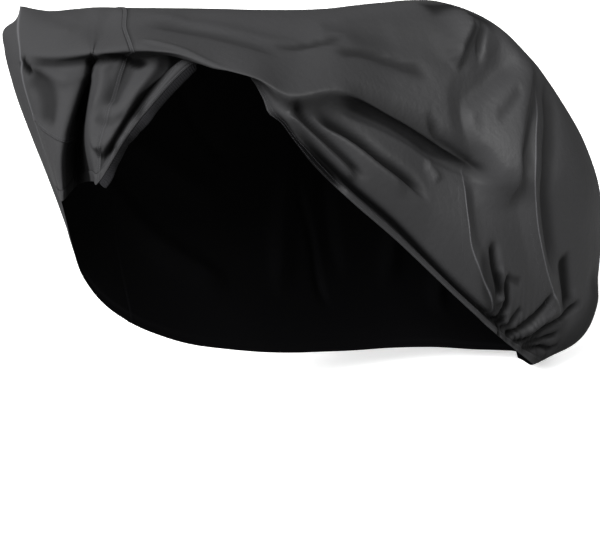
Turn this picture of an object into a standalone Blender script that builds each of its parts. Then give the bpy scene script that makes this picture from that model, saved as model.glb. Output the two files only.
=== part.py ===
"""Fitted cover for two bicycles, as it hangs when it is pulled back from the front wheels.

Sizes are metres. Tables give points as (x, y, height): x runs from the front wheels to the
rear, y from the near side to the far side, and height is measured up from the floor.
The finished model is moved so that its origin is the point under the top that holds it up.
"""
import bpy
import bmesh
import numpy as np

# ---------------------------------------------------------------- driving dimensions
CLOTH_THICKNESS = 0.002
SEAM_GAP = 0.0003            # between two pieces that are sewn together
SEAM_DRAW = 0.75 * SEAM_GAP  # each piece is drawn back by this much at its seam's vertices
HANG_POINT = (0.95, 0.13, 1.106)    # on the inner face of the top
ELASTIC_WIDTH = 0.022
ELASTIC_THICKNESS = 0.0022
ELASTIC_RIB_HEIGHT = 0.0012
ELASTIC_RIB_PITCH = 0.006

# Rows of the mesh between one named level of the cloth and the next, from ridge to hem.
LEVEL_STEPS = {"ridge": 3, "roof": 3, "lip": 3, "tuck": 6, "belly": 8}

# One row for each section of the near side, from the front crease to the rear centre.
# ridge: top of the cover.  roof: halfway to the near edge of the top.  lip: that edge, which
# overhangs at the front.  tuck: where the cloth turns in under the lip.  belly: the hanging
# side.  hem: the lower edge.  steps: columns of the mesh up to the next section.
NEAR_SECTIONS = (
    # steps, ridge, roof, lip, tuck, belly, hem
    (2, (0.170, 0.500, 1.135), (0.150, 0.485, 1.085), (0.135, 0.460, 1.035),
        (0.132, 0.455, 0.985), (0.148, 0.437, 0.876), (0.174, 0.385, 0.690)),
    (3, (0.232, 0.475, 1.122), (0.186, 0.430, 1.078), (0.141, 0.385, 1.026),
        (0.144, 0.388, 0.990), (0.138, 0.385, 0.857), (0.161, 0.362, 0.688)),
    (3, (0.300, 0.450, 1.124), (0.236, 0.370, 1.083), (0.188, 0.290, 1.041),
        (0.197, 0.303, 1.005), (0.148, 0.320, 0.838), (0.150, 0.338, 0.696)),
    (3, (0.328, 0.420, 1.128), (0.265, 0.350, 1.084), (0.200, 0.275, 1.041),
        (0.242, 0.330, 1.000), (0.270, 0.420, 0.830), (0.240, 0.400, 0.710)),
    (3, (0.353, 0.400, 1.128), (0.291, 0.330, 1.084), (0.209, 0.265, 1.041),
        (0.225, 0.292, 1.012), (0.182, 0.285, 0.867), (0.184, 0.270, 0.744)),
    (3, (0.395, 0.350, 1.126), (0.310, 0.270, 1.089), (0.226, 0.190, 1.047),
        (0.255, 0.240, 1.018), (0.195, 0.235, 0.878), (0.176, 0.236, 0.748)),
    (3, (0.455, 0.310, 1.125), (0.361, 0.230, 1.088), (0.257, 0.140, 1.051),
        (0.290, 0.190, 1.026), (0.232, 0.187, 0.940), (0.208, 0.200, 0.839)),
    (3, (0.526, 0.280, 1.122), (0.429, 0.200, 1.085), (0.302, 0.090, 1.046),
        (0.325, 0.128, 1.033), (0.300, 0.150, 1.000), (0.272, 0.164, 0.942)),
    (3, (0.604, 0.245, 1.118), (0.496, 0.155, 1.079), (0.344, 0.020, 1.021),
        (0.368, 0.054, 1.016), (0.379, 0.074, 1.014), (0.390, 0.094, 1.013)),
    (4, (0.687, 0.210, 1.113), (0.562, 0.100, 1.059), (0.380, -0.070, 0.999),
        (0.408, -0.036, 0.994), (0.421, -0.014, 0.992), (0.434, 0.008, 0.992)),
    (5, (0.793, 0.180, 1.108), (0.640, 0.050, 1.040), (0.461, -0.100, 0.958),
        (0.462, -0.090, 0.925), (0.458, -0.089, 0.893), (0.466, -0.070, 0.864)),
    (6, (0.893, 0.150, 1.107), (0.736, 0.000, 1.030), (0.638, -0.100, 0.946),
        (0.678, -0.075, 0.904), (0.610, -0.120, 0.810), (0.615, -0.120, 0.708)),
    (6, (1.044, 0.110, 1.114), (0.923, -0.010, 0.999), (0.836, -0.110, 0.859),
        (0.881, -0.080, 0.821), (0.798, -0.150, 0.715), (0.816, -0.140, 0.549)),
    (6, (1.228, 0.070, 1.112), (1.129, -0.030, 0.972), (1.024, -0.130, 0.763),
        (1.074, -0.100, 0.714), (1.001, -0.170, 0.572), (1.051, -0.160, 0.351)),
    (6, (1.428, 0.040, 1.048), (1.347, -0.040, 0.928), (1.229, -0.150, 0.694),
        (1.245, -0.145, 0.623), (1.186, -0.195, 0.435), (1.233, -0.165, 0.213)),
    (4, (1.594, 0.020, 0.937), (1.522, -0.050, 0.843), (1.427, -0.150, 0.653),
        (1.430, -0.160, 0.555), (1.450, -0.170, 0.307), (1.415, -0.150, 0.093)),
    (4, (1.670, 0.010, 0.868), (1.685, -0.050, 0.770), (1.695, -0.122, 0.600),
        (1.710, -0.135, 0.500), (1.725, -0.128, 0.165), (1.500, -0.085, 0.068)),
    (0, (1.744, 0.000, 0.790), (1.826, -0.020, 0.683), (1.904, -0.030, 0.541),
        (1.927, -0.035, 0.410), (1.880, -0.030, 0.130), (1.560, 0.000, 0.060)),
)

# The far side's sections between the front crease and the rear centre; ridge is the near one's.
FAR_SECTIONS = (
    # roof, lip, tuck, belly, hem
    ((0.142, 0.520, 1.088), (0.134, 0.522, 1.033), (0.146, 0.516, 0.960),
     (0.173, 0.490, 0.836), (0.221, 0.440, 0.662)),
    ((0.215, 0.555, 1.085), (0.215, 0.565, 1.020), (0.215, 0.560, 0.940),
     (0.235, 0.535, 0.780), (0.240, 0.425, 0.540)),
    ((0.275, 0.560, 1.080), (0.280, 0.575, 1.000), (0.285, 0.570, 0.900),
     (0.300, 0.540, 0.720), (0.262, 0.420, 0.470)),
    ((0.330, 0.545, 1.078), (0.340, 0.565, 0.980), (0.350, 0.565, 0.860),
     (0.365, 0.535, 0.640), (0.310, 0.405, 0.395)),
    ((0.390, 0.520, 1.076), (0.410, 0.545, 0.965), (0.420, 0.550, 0.830),
     (0.440, 0.525, 0.570), (0.385, 0.390, 0.330)),
    ((0.460, 0.490, 1.072), (0.480, 0.520, 0.950), (0.495, 0.535, 0.800),
     (0.520, 0.515, 0.520), (0.480, 0.380, 0.275)),
    ((0.535, 0.460, 1.068), (0.555, 0.495, 0.940), (0.570, 0.515, 0.780),
     (0.600, 0.500, 0.480), (0.580, 0.370, 0.230)),
    ((0.610, 0.430, 1.062), (0.635, 0.470, 0.930), (0.650, 0.495, 0.760),
     (0.690, 0.485, 0.440), (0.690, 0.355, 0.195)),
    ((0.700, 0.400, 1.058), (0.720, 0.445, 0.920), (0.740, 0.475, 0.740),
     (0.780, 0.470, 0.410), (0.800, 0.335, 0.165)),
    ((0.800, 0.370, 1.055), (0.825, 0.420, 0.910), (0.845, 0.455, 0.720),
     (0.885, 0.455, 0.380), (0.910, 0.320, 0.140)),
    ((0.905, 0.345, 1.052), (0.930, 0.400, 0.900), (0.955, 0.440, 0.700),
     (1.000, 0.440, 0.350), (1.020, 0.305, 0.120)),
    ((1.060, 0.315, 1.050), (1.085, 0.375, 0.880), (1.110, 0.415, 0.670),
     (1.150, 0.420, 0.320), (1.140, 0.285, 0.100)),
    ((1.250, 0.285, 1.035), (1.280, 0.345, 0.860), (1.305, 0.385, 0.640),
     (1.340, 0.390, 0.290), (1.270, 0.250, 0.085)),
    ((1.460, 0.235, 0.970), (1.500, 0.295, 0.780), (1.525, 0.325, 0.570),
     (1.540, 0.330, 0.250), (1.400, 0.190, 0.070)),
    ((1.635, 0.165, 0.865), (1.695, 0.220, 0.690), (1.715, 0.245, 0.500),
     (1.715, 0.245, 0.190), (1.500, 0.120, 0.055)),
    ((1.735, 0.080, 0.790), (1.820, 0.120, 0.610), (1.850, 0.135, 0.460),
     (1.830, 0.135, 0.150), (1.550, 0.055, 0.055)),
)
SEAM_SECTION = 5             # the cross seam follows this section on both sides
LOWER_FRONT_SECTION = 3      # the lower front piece ends just short of this one, in the pleat
CURTAIN_END_SECTION = 7      # the front curtain ends where the hem peaks
ELASTIC_END_SECTION = 8      # the elastic runs from the cross seam to just short of this section

# Soft folds pressed into the surface, each along a path of points.  half_width and height are
# metres; height is out of the cloth, so a trough has a negative one.
FOLD_FADE = 0.18             # share of a path over which a fold rises and dies away
PRESS_PASSES = 3             # averagings of the directions in which the folds are pressed
NEAR_FOLDS = (               # path: (x, height) on the near side
    # name, half_width, height, path
    ("hem valley", 0.026, -0.040,
     ((0.44, 0.92), (0.62, 0.775), (0.80, 0.625), (0.99, 0.455), (1.23, 0.245))),
    ("bar roll", 0.022, 0.020, ((0.45, 0.88), (0.53, 0.80), (0.62, 0.735))),
    ("long valley", 0.026, -0.026, ((0.58, 0.885), (0.70, 0.80), (0.81, 0.715), (0.90, 0.65))),
    ("shoulder valley", 0.036, -0.020,
     ((0.60, 0.935), (0.81, 0.86), (0.96, 0.785), (1.10, 0.70), (1.26, 0.62))),
    ("front crease", 0.030, 0.014, ((1.12, 0.70), (1.07, 0.52), (1.09, 0.41), (1.19, 0.27))),
    ("rear crease", 0.034, 0.018,
     ((1.54, 0.83), (1.38, 0.60), (1.40, 0.46), (1.44, 0.35), (1.59, 0.18))),
    ("upper valley", 0.034, -0.024, ((1.49, 0.89), (1.37, 0.78), (1.31, 0.68), (1.28, 0.60))),
    ("saddle facet", 0.045, 0.014, ((1.47, 0.93), (1.25, 0.87), (1.15, 0.79))),
    ("low valley", 0.030, -0.022, ((1.12, 0.52), (1.15, 0.43), (1.20, 0.31))),
    ("corner valley", 0.034, -0.026, ((1.54, 0.44), (1.58, 0.30), (1.64, 0.19))),
    ("gather one", 0.028, -0.018, ((1.28, 0.22), (1.37, 0.255), (1.49, 0.28))),
    ("gather two", 0.026, -0.016, ((1.33, 0.175), (1.45, 0.175), (1.64, 0.16))),
)
FRONT_FOLDS = (              # path: (y, height) on the front curtain
    ("front hollow", 0.035, -0.012, ((0.40, 0.97), (0.37, 0.92), (0.35, 0.87))),
    ("gather ridge", 0.010, 0.010, ((0.265, 1.01), (0.270, 0.93), (0.262, 0.82))),
    ("gather valley", 0.012, -0.014, ((0.215, 1.02), (0.235, 0.95), (0.255, 0.87))),
    ("gather bulge", 0.030, 0.012, ((0.275, 0.83), (0.235, 0.82), (0.215, 0.86))),
)
FAR_FOLDS = (                # path: (x, height) on the far side
    ("corner swag", 0.045, -0.022, ((0.28, 1.00), (0.50, 0.78), (0.80, 0.55))),
    ("second swag", 0.040, -0.018, ((0.36, 0.78), (0.55, 0.52), (0.80, 0.33))),
    ("middle drop", 0.045, -0.018, ((0.98, 1.00), (1.00, 0.65), (0.97, 0.25))),
    ("saddle fold", 0.040, 0.016, ((1.20, 1.00), (1.16, 0.65), (1.22, 0.25))),
    ("rear drop", 0.040, -0.018, ((1.40, 0.90), (1.44, 0.55), (1.38, 0.20))),
    ("rear gather", 0.030, -0.018, ((1.66, 0.60), (1.64, 0.35), (1.50, 0.12))),
)

TINY = 1e-12                 # keeps a vector of no length from being divided by zero

CLOTH_LOOK = ((0.022, 0.022, 0.024, 1.0), 0.55)      # colour, roughness
ELASTIC_LOOK = ((0.012, 0.012, 0.013, 1.0), 0.8)


# ---------------------------------------------------------------- curves through the tables
def curve_through(knots, points, where, around=False):
    """Smooth curve through points (first axis) at increasing knots, read at the values where.

    With around, the points go round a ring and knots has one more value than points.
    """
    knots = np.asarray(knots, float)
    points = np.asarray(points, float)
    if around:
        points = np.concatenate([points[-1:], points, points[:2]])
        knots = np.concatenate([[knots[0] - (knots[-1] - knots[-2])], knots,
                                [knots[-1] + knots[1] - knots[0]]])
    spans = np.diff(knots).reshape((-1,) + (1,) * (points.ndim - 1))
    slopes = np.diff(points, axis=0) / spans
    tangents = np.empty_like(points)
    tangents[1:-1] = (slopes[:-1] * spans[1:] + slopes[1:] * spans[:-1]) / (spans[:-1] + spans[1:])
    tangents[0] = slopes[0]
    tangents[-1] = slopes[-1]
    span = np.clip(np.searchsorted(knots, where, side="right") - 1, 0, len(knots) - 2)
    width = (knots[span + 1] - knots[span])
    part = ((where - knots[span]) / width).reshape((-1,) + (1,) * (points.ndim - 1))
    width = width.reshape(part.shape)
    return ((2 * part**3 - 3 * part**2 + 1) * points[span]
            + (part**3 - 2 * part**2 + part) * width * tangents[span]
            + (3 * part**2 - 2 * part**3) * points[span + 1]
            + (part**3 - part**2) * width * tangents[span + 1])


def straight_between(knots, points, where):
    """Straight lines through points at increasing knots, read at the values where."""
    return np.stack([np.interp(where, knots, column) for column in np.transpose(points)], axis=1)


def smooth_step(value):
    """0 to 1 with level ends, for values from 0 to 1."""
    value = np.clip(value, 0.0, 1.0)
    return value * value * (3 - 2 * value)


def section_ring():
    """Every section, near side then far side, as an array of (section, level, xyz)."""
    near = [np.array(row[1:]) for row in NEAR_SECTIONS]
    far = [np.array((near[number + 1][0],) + row) for number, row in enumerate(FAR_SECTIONS)]
    return np.array(near + far[::-1])


def column_places(ring):
    """Knots of the ring, and the places of the mesh's columns on the near and the far side."""
    last = len(NEAR_SECTIONS) - 1
    chords = np.linalg.norm(np.roll(ring, -1, axis=0) - ring, axis=2).mean(axis=1)
    spans = np.sqrt((chords[:last] + chords[last:][::-1]) / 2)
    knots = np.concatenate([[0.0], np.cumsum(np.concatenate([spans, spans[::-1]]))])
    near = [knots[last]]
    for number in range(last - 1, -1, -1):
        steps = NEAR_SECTIONS[number][0]
        near = [knots[number] + spans[number] * step / steps for step in range(steps)] + near
    near = np.array(near)
    return knots, near, knots[-1] - near


def draped_grid():
    """Points of the cloth's outer face: (column, row, xyz), near hem, ridge, far hem."""
    ring = section_ring()
    knots, near_places, far_places = column_places(ring)
    near = curve_through(knots, ring, near_places, around=True)
    far = curve_through(knots, ring, far_places % knots[-1], around=True)      # the ring closes
    lines = np.concatenate([near[:, :0:-1], far], axis=1)
    steps = list(LEVEL_STEPS.values())
    level_knots = np.concatenate([[0], np.cumsum(steps)])
    level_knots = np.concatenate([-level_knots[:0:-1], level_knots])
    rows = np.arange(level_knots[0], level_knots[-1] + 1)
    grid = curve_through(level_knots, lines.transpose(1, 0, 2), rows)
    return grid.transpose(1, 0, 2)


def cloth_numbers(columns, rows):
    """Vertex number of each grid point; both sides share the front crease and the rear centre."""
    numbers = np.arange(columns * rows).reshape(columns, rows)
    middle = rows // 2
    for column in (0, columns - 1):
        numbers[column, middle + 1:] = numbers[column, :middle][::-1]
    return numbers


def unit(vectors):
    """Vectors on the last axis, each brought to length one."""
    return vectors / np.linalg.norm(vectors, axis=-1, keepdims=True).clip(TINY)


def outward_normals(points, numbers):
    """Unit normals at the vertices, averaged evenly over the faces that meet there."""
    corners = [numbers[:-1, :-1], numbers[1:, :-1], numbers[1:, 1:], numbers[:-1, 1:]]
    a, b, c, d = (points[corner] for corner in corners)
    face_normals = unit(np.cross(c - a, d - b))
    normals = np.zeros_like(points)
    for corner in corners:
        np.add.at(normals, corner, face_normals)
    return unit(normals)


def softened(vectors, numbers, passes):
    """Unit vectors averaged with their neighbours on the grid, so that they turn slowly."""
    pairs = np.concatenate([
        np.stack([numbers[1:].ravel(), numbers[:-1].ravel()], axis=1),
        np.stack([numbers[:, 1:].ravel(), numbers[:, :-1].ravel()], axis=1)])
    for _ in range(passes):
        total = vectors.copy()
        np.add.at(total, pairs[:, 0], vectors[pairs[:, 1]])
        np.add.at(total, pairs[:, 1], vectors[pairs[:, 0]])
        vectors = unit(total)
    return vectors


def distance_to_path(flat_points, path):
    """Distance of 2-D points from a path, and how far along it the nearest place is, 0 to 1."""
    path = np.array(path)
    lengths = np.linalg.norm(np.diff(path, axis=0), axis=1)
    starts = np.concatenate([[0.0], np.cumsum(lengths)])
    nearest = np.full(len(flat_points), np.inf)
    along = np.zeros(len(flat_points))
    for number, length in enumerate(lengths):
        direction = (path[number + 1] - path[number]) / length
        offset = flat_points - path[number]
        run = np.clip(offset @ direction, 0.0, length)
        distance = np.linalg.norm(offset - run[:, None] * direction, axis=1)
        closer = distance < nearest
        nearest[closer] = distance[closer]
        along[closer] = (starts[number] + run[closer]) / starts[-1]
    return nearest, along


def press_folds(points, normals, numbers, folds, view):
    """Raise or sink the listed vertices along soft folds, drawn in the view's two axes."""
    chosen = np.unique(numbers)
    flat = points[chosen][:, view]
    rise = np.zeros(len(chosen))
    for name, half_width, height, path in folds:
        distance, along = distance_to_path(flat, path)
        ends = smooth_step(along / FOLD_FADE) * smooth_step((1 - along) / FOLD_FADE)
        rise += height * ends * np.exp(-(distance / half_width) ** 2)
    points[chosen] += normals[chosen] * rise[:, None]


# ---------------------------------------------------------------- the draped cloth
def section_column(section):
    """The mesh column on which a section lies."""
    return sum(row[0] for row in NEAR_SECTIONS[:section])


def folded_cloth():
    """Outer face of the whole cover: points, normals and the grid of vertex numbers."""
    grid = draped_grid()
    columns, rows = grid.shape[:2]
    numbers = cloth_numbers(columns, rows)
    points = grid.reshape(-1, 3).copy()
    normals = softened(outward_normals(points, numbers), numbers, PRESS_PASSES)
    ridge = rows // 2
    curtain_end = section_column(CURTAIN_END_SECTION)
    press_folds(points, normals, numbers[curtain_end:, :ridge], NEAR_FOLDS, (0, 2))
    press_folds(points, normals, numbers[:curtain_end, :ridge], FRONT_FOLDS, (1, 2))
    press_folds(points, normals, numbers[:, ridge + 1:], FAR_FOLDS, (0, 2))
    return points - np.array(HANG_POINT), outward_normals(points, numbers), numbers


def quads_between(numbers, first_column, last_column, first_row, last_row):
    """The faces of a block of the grid, as rows of four vertex numbers."""
    block = numbers[first_column:last_column + 1, first_row:last_row + 1]
    corners = (block[:-1, :-1], block[1:, :-1], block[1:, 1:], block[:-1, 1:])
    return np.stack([corner.ravel() for corner in corners], axis=1)


def without(quads, removed):
    """The faces that aren't among the removed ones."""
    gone = {tuple(quad) for quad in removed}
    return np.array([quad for quad in quads if tuple(quad) not in gone])


# ---------------------------------------------------------------- solids
def plain_material(name, colour, roughness):
    material = bpy.data.materials.new(name)
    material.use_nodes = True
    shader = material.node_tree.nodes["Principled BSDF"]
    shader.inputs["Base Color"].default_value = colour
    shader.inputs["Roughness"].default_value = roughness
    material.diffuse_color = colour
    return material


def open_edges(quads):
    """Directed edges that belong to one face only, as (start, end) vertex numbers."""
    edges = {(quad[k], quad[(k + 1) % 4]) for quad in quads for k in range(4)}
    return [edge for edge in sorted(edges) if (edge[1], edge[0]) not in edges]


def sheet_solid(name, quads, outer, inner, look, collection):
    """One closed sheet: its outer faces, its inner faces and a rim along every open edge."""
    mesh = bmesh.new()
    outer_corner = {}
    inner_corner = {}
    for number in np.unique(quads):
        outer_corner[number] = mesh.verts.new(outer[number])
        inner_corner[number] = mesh.verts.new(inner[number])
    for quad in quads:
        mesh.faces.new([outer_corner[number] for number in quad])
        mesh.faces.new([inner_corner[number] for number in quad[::-1]])
    for start, end in open_edges(quads):
        # The same diagonal from either side of a seam, so that twisted rims match.
        rim = [outer_corner[end], outer_corner[start], inner_corner[start], inner_corner[end]]
        if start < end:
            rim = rim[1:] + rim[:1]
        mesh.faces.new(rim[:3])
        mesh.faces.new([rim[2], rim[3], rim[0]])
    data = bpy.data.meshes.new(name)
    mesh.to_mesh(data)
    mesh.free()
    data.shade_smooth()
    data.materials.append(plain_material(name, *look))
    sheet = bpy.data.objects.new(name, data)
    collection.objects.link(sheet)
    return sheet


def middle_around(number, quads, points):
    """Middle of those of the faces that meet at a vertex."""
    return points[quads[(quads == number).any(axis=1)]].mean(axis=(0, 1))


def cloth_sheet(name, quads, others, points, normals, collection):
    """A piece of cloth, drawn back from the seams where it meets the other pieces' faces."""
    outer = points.copy()
    for number in sorted(set(np.unique(quads)) & set(np.unique(others))):
        away = middle_around(number, quads, points) - middle_around(number, others, points)
        away -= normals[number] * (away @ normals[number])
        outer[number] += unit(away) * SEAM_DRAW
    inner = outer - normals * CLOTH_THICKNESS
    return sheet_solid(name, quads, outer, inner, CLOTH_LOOK, collection)


def elastic_band(name, points, normals, edge, collection):
    """Ribbed elastic along a stretch of hem; edge lists the hem's vertex numbers in order."""
    line = points[edge]
    steps = np.linalg.norm(np.diff(line, axis=0), axis=1)
    places = np.concatenate([[0.0], np.cumsum(steps)])
    count = 2 * int(places[-1] / ELASTIC_RIB_PITCH) + 1
    where = np.linspace(0.0, places[-1], count)
    centre = straight_between(places, line, where)
    facing = straight_between(places, normals[edge], where)
    tangent = np.gradient(curve_through(places, line, where), axis=0)
    across = np.cross(tangent, facing)
    across /= np.linalg.norm(across, axis=1, keepdims=True)
    rise = np.where(np.arange(count) % 2, ELASTIC_RIB_HEIGHT, 0.0)[:, None]
    offsets = (SEAM_GAP, ELASTIC_WIDTH / 2, ELASTIC_WIDTH)
    outer = np.stack([centre + across * offset + facing * rise for offset in offsets], axis=1)
    inner = np.stack([centre + across * offset - facing * ELASTIC_THICKNESS
                      for offset in offsets], axis=1)
    numbers = np.arange(count * len(offsets)).reshape(count, len(offsets))
    quads = quads_between(numbers, 0, count - 1, 0, len(offsets) - 1)[:, ::-1]
    return sheet_solid(name, quads, outer.reshape(-1, 3), inner.reshape(-1, 3),
                       ELASTIC_LOOK, collection)


# ---------------------------------------------------------------- the pieces
def build_cover():
    for old in list(bpy.data.objects):
        bpy.data.objects.remove(old, do_unlink=True)
    collection = bpy.data.collections.new("bicycle_cover")
    bpy.context.scene.collection.children.link(collection)

    points, normals, numbers = folded_cloth()
    last_column = numbers.shape[0] - 1
    last_row = numbers.shape[1] - 1
    seam_column = section_column(SEAM_SECTION)
    belly_row = LEVEL_STEPS["belly"]

    lower = quads_between(numbers, 0, section_column(LOWER_FRONT_SECTION) - 1, 0, belly_row)
    front = without(quads_between(numbers, 0, seam_column, 0, last_row), lower)
    main = quads_between(numbers, seam_column, last_column, 0, last_row)
    pieces = {"main_cloth": main, "front_cloth": front, "lower_front_cloth": lower}

    for name, quads in pieces.items():
        others = np.concatenate([piece for other, piece in pieces.items() if other != name])
        cloth_sheet(name, quads, others, points, normals, collection)

    hem = numbers[seam_column:section_column(ELASTIC_END_SECTION) - 1, 0]
    elastic_band("elastic_band", points, normals, hem, collection)


build_cover()
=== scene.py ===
# %% [markdown]
# # A bicycle cover, pulled back from the front wheels
#
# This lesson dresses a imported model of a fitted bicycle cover: a large, thin, hollow piece of
# black coated cloth that hangs over two bicycles, which are left out. The solids hold the true
# drape. Here each solid is replaced by a thinner sheet of the same drape with finer folds, a
# turned hem, lapped seams, stitches and ribbed elastic, and the outside gets a woven finish.

# %% Load the frame
import math

import bpy
import numpy as np
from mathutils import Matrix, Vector


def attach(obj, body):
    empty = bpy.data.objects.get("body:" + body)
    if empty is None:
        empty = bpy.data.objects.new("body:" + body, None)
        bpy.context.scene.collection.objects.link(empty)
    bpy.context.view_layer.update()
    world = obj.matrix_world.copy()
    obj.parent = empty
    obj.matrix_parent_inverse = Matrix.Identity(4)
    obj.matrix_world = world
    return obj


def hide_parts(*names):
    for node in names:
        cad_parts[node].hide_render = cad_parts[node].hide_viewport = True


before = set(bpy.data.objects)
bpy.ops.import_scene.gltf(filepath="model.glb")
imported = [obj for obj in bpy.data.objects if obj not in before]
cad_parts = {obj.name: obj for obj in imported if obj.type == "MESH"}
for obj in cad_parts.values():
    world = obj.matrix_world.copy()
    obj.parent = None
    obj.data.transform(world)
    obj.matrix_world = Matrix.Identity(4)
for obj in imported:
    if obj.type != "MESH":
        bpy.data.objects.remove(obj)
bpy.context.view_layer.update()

# %% [markdown]
# ## The drape as a table of sections
#
# A draped cover has no simple formula, but it does have a rule: it can be cut into sections,
# like the ribs of a boat, each running from the hem on the near side over the ridge to the hem
# on the far side. Each section needs only a few named points. Heights are from the floor, x runs
# from the front wheels to the rear and y from the near side to the far one. These are the
# sections of the solids, so the sheet lies on them. Only three near ones, the sixth to the
# eighth, differ, by 11 cm at most along the cloth, to draw the hem up into a sharper peak at the
# top of the opening.

# %% Sections of the near side
NEAR_SECTIONS = (
    # ridge, roof, lip, tuck, belly, hem
    ((0.170, 0.500, 1.135), (0.150, 0.485, 1.085), (0.135, 0.460, 1.035),
     (0.132, 0.455, 0.985), (0.148, 0.437, 0.876), (0.174, 0.385, 0.690)),
    ((0.232, 0.475, 1.122), (0.186, 0.430, 1.078), (0.141, 0.385, 1.026),
     (0.144, 0.388, 0.990), (0.138, 0.385, 0.857), (0.161, 0.362, 0.688)),
    ((0.300, 0.450, 1.124), (0.236, 0.370, 1.083), (0.188, 0.290, 1.041),
     (0.197, 0.303, 1.005), (0.148, 0.320, 0.838), (0.150, 0.338, 0.696)),
    ((0.328, 0.420, 1.128), (0.265, 0.350, 1.084), (0.200, 0.275, 1.041),
     (0.242, 0.330, 1.000), (0.270, 0.420, 0.830), (0.240, 0.400, 0.710)),
    ((0.353, 0.400, 1.128), (0.291, 0.330, 1.084), (0.209, 0.265, 1.041),
     (0.225, 0.292, 1.012), (0.182, 0.285, 0.867), (0.184, 0.270, 0.744)),
    ((0.378, 0.370, 1.127), (0.305, 0.275, 1.088), (0.237, 0.172, 1.048),
     (0.262, 0.228, 1.019), (0.198, 0.232, 0.878), (0.176, 0.236, 0.748)),
    ((0.455, 0.310, 1.125), (0.361, 0.230, 1.088), (0.262, 0.132, 1.051),
     (0.296, 0.182, 1.026), (0.255, 0.183, 0.950), (0.239, 0.183, 0.873)),
    ((0.526, 0.280, 1.122), (0.429, 0.200, 1.085), (0.302, 0.090, 1.046),
     (0.325, 0.128, 1.033), (0.336, 0.122, 1.022), (0.346, 0.113, 1.008)),
    ((0.604, 0.245, 1.118), (0.496, 0.155, 1.079), (0.344, 0.020, 1.021),
     (0.368, 0.054, 1.016), (0.379, 0.074, 1.014), (0.390, 0.094, 1.013)),
    ((0.687, 0.210, 1.113), (0.562, 0.100, 1.059), (0.380, -0.070, 0.999),
     (0.408, -0.036, 0.994), (0.421, -0.014, 0.992), (0.434, 0.008, 0.992)),
    ((0.793, 0.180, 1.108), (0.640, 0.050, 1.040), (0.461, -0.100, 0.958),
     (0.462, -0.090, 0.925), (0.458, -0.089, 0.893), (0.466, -0.070, 0.864)),
    ((0.893, 0.150, 1.107), (0.736, 0.000, 1.030), (0.638, -0.100, 0.946),
     (0.678, -0.075, 0.904), (0.610, -0.120, 0.810), (0.615, -0.120, 0.708)),
    ((1.044, 0.110, 1.114), (0.923, -0.010, 0.999), (0.836, -0.110, 0.859),
     (0.881, -0.080, 0.821), (0.798, -0.150, 0.715), (0.816, -0.140, 0.549)),
    ((1.228, 0.070, 1.112), (1.129, -0.030, 0.972), (1.024, -0.130, 0.763),
     (1.074, -0.100, 0.714), (1.001, -0.170, 0.572), (1.051, -0.160, 0.351)),
    ((1.428, 0.040, 1.048), (1.347, -0.040, 0.928), (1.229, -0.150, 0.694),
     (1.245, -0.145, 0.623), (1.186, -0.195, 0.435), (1.233, -0.165, 0.213)),
    ((1.594, 0.020, 0.937), (1.522, -0.050, 0.843), (1.427, -0.150, 0.653),
     (1.430, -0.160, 0.555), (1.450, -0.170, 0.307), (1.415, -0.150, 0.093)),
    ((1.670, 0.010, 0.868), (1.685, -0.050, 0.770), (1.695, -0.122, 0.600),
     (1.710, -0.135, 0.500), (1.725, -0.128, 0.165), (1.500, -0.085, 0.068)),
    ((1.744, 0.000, 0.790), (1.826, -0.020, 0.683), (1.904, -0.030, 0.541),
     (1.927, -0.035, 0.410), (1.880, -0.030, 0.130), (1.560, 0.000, 0.060)),
)

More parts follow.
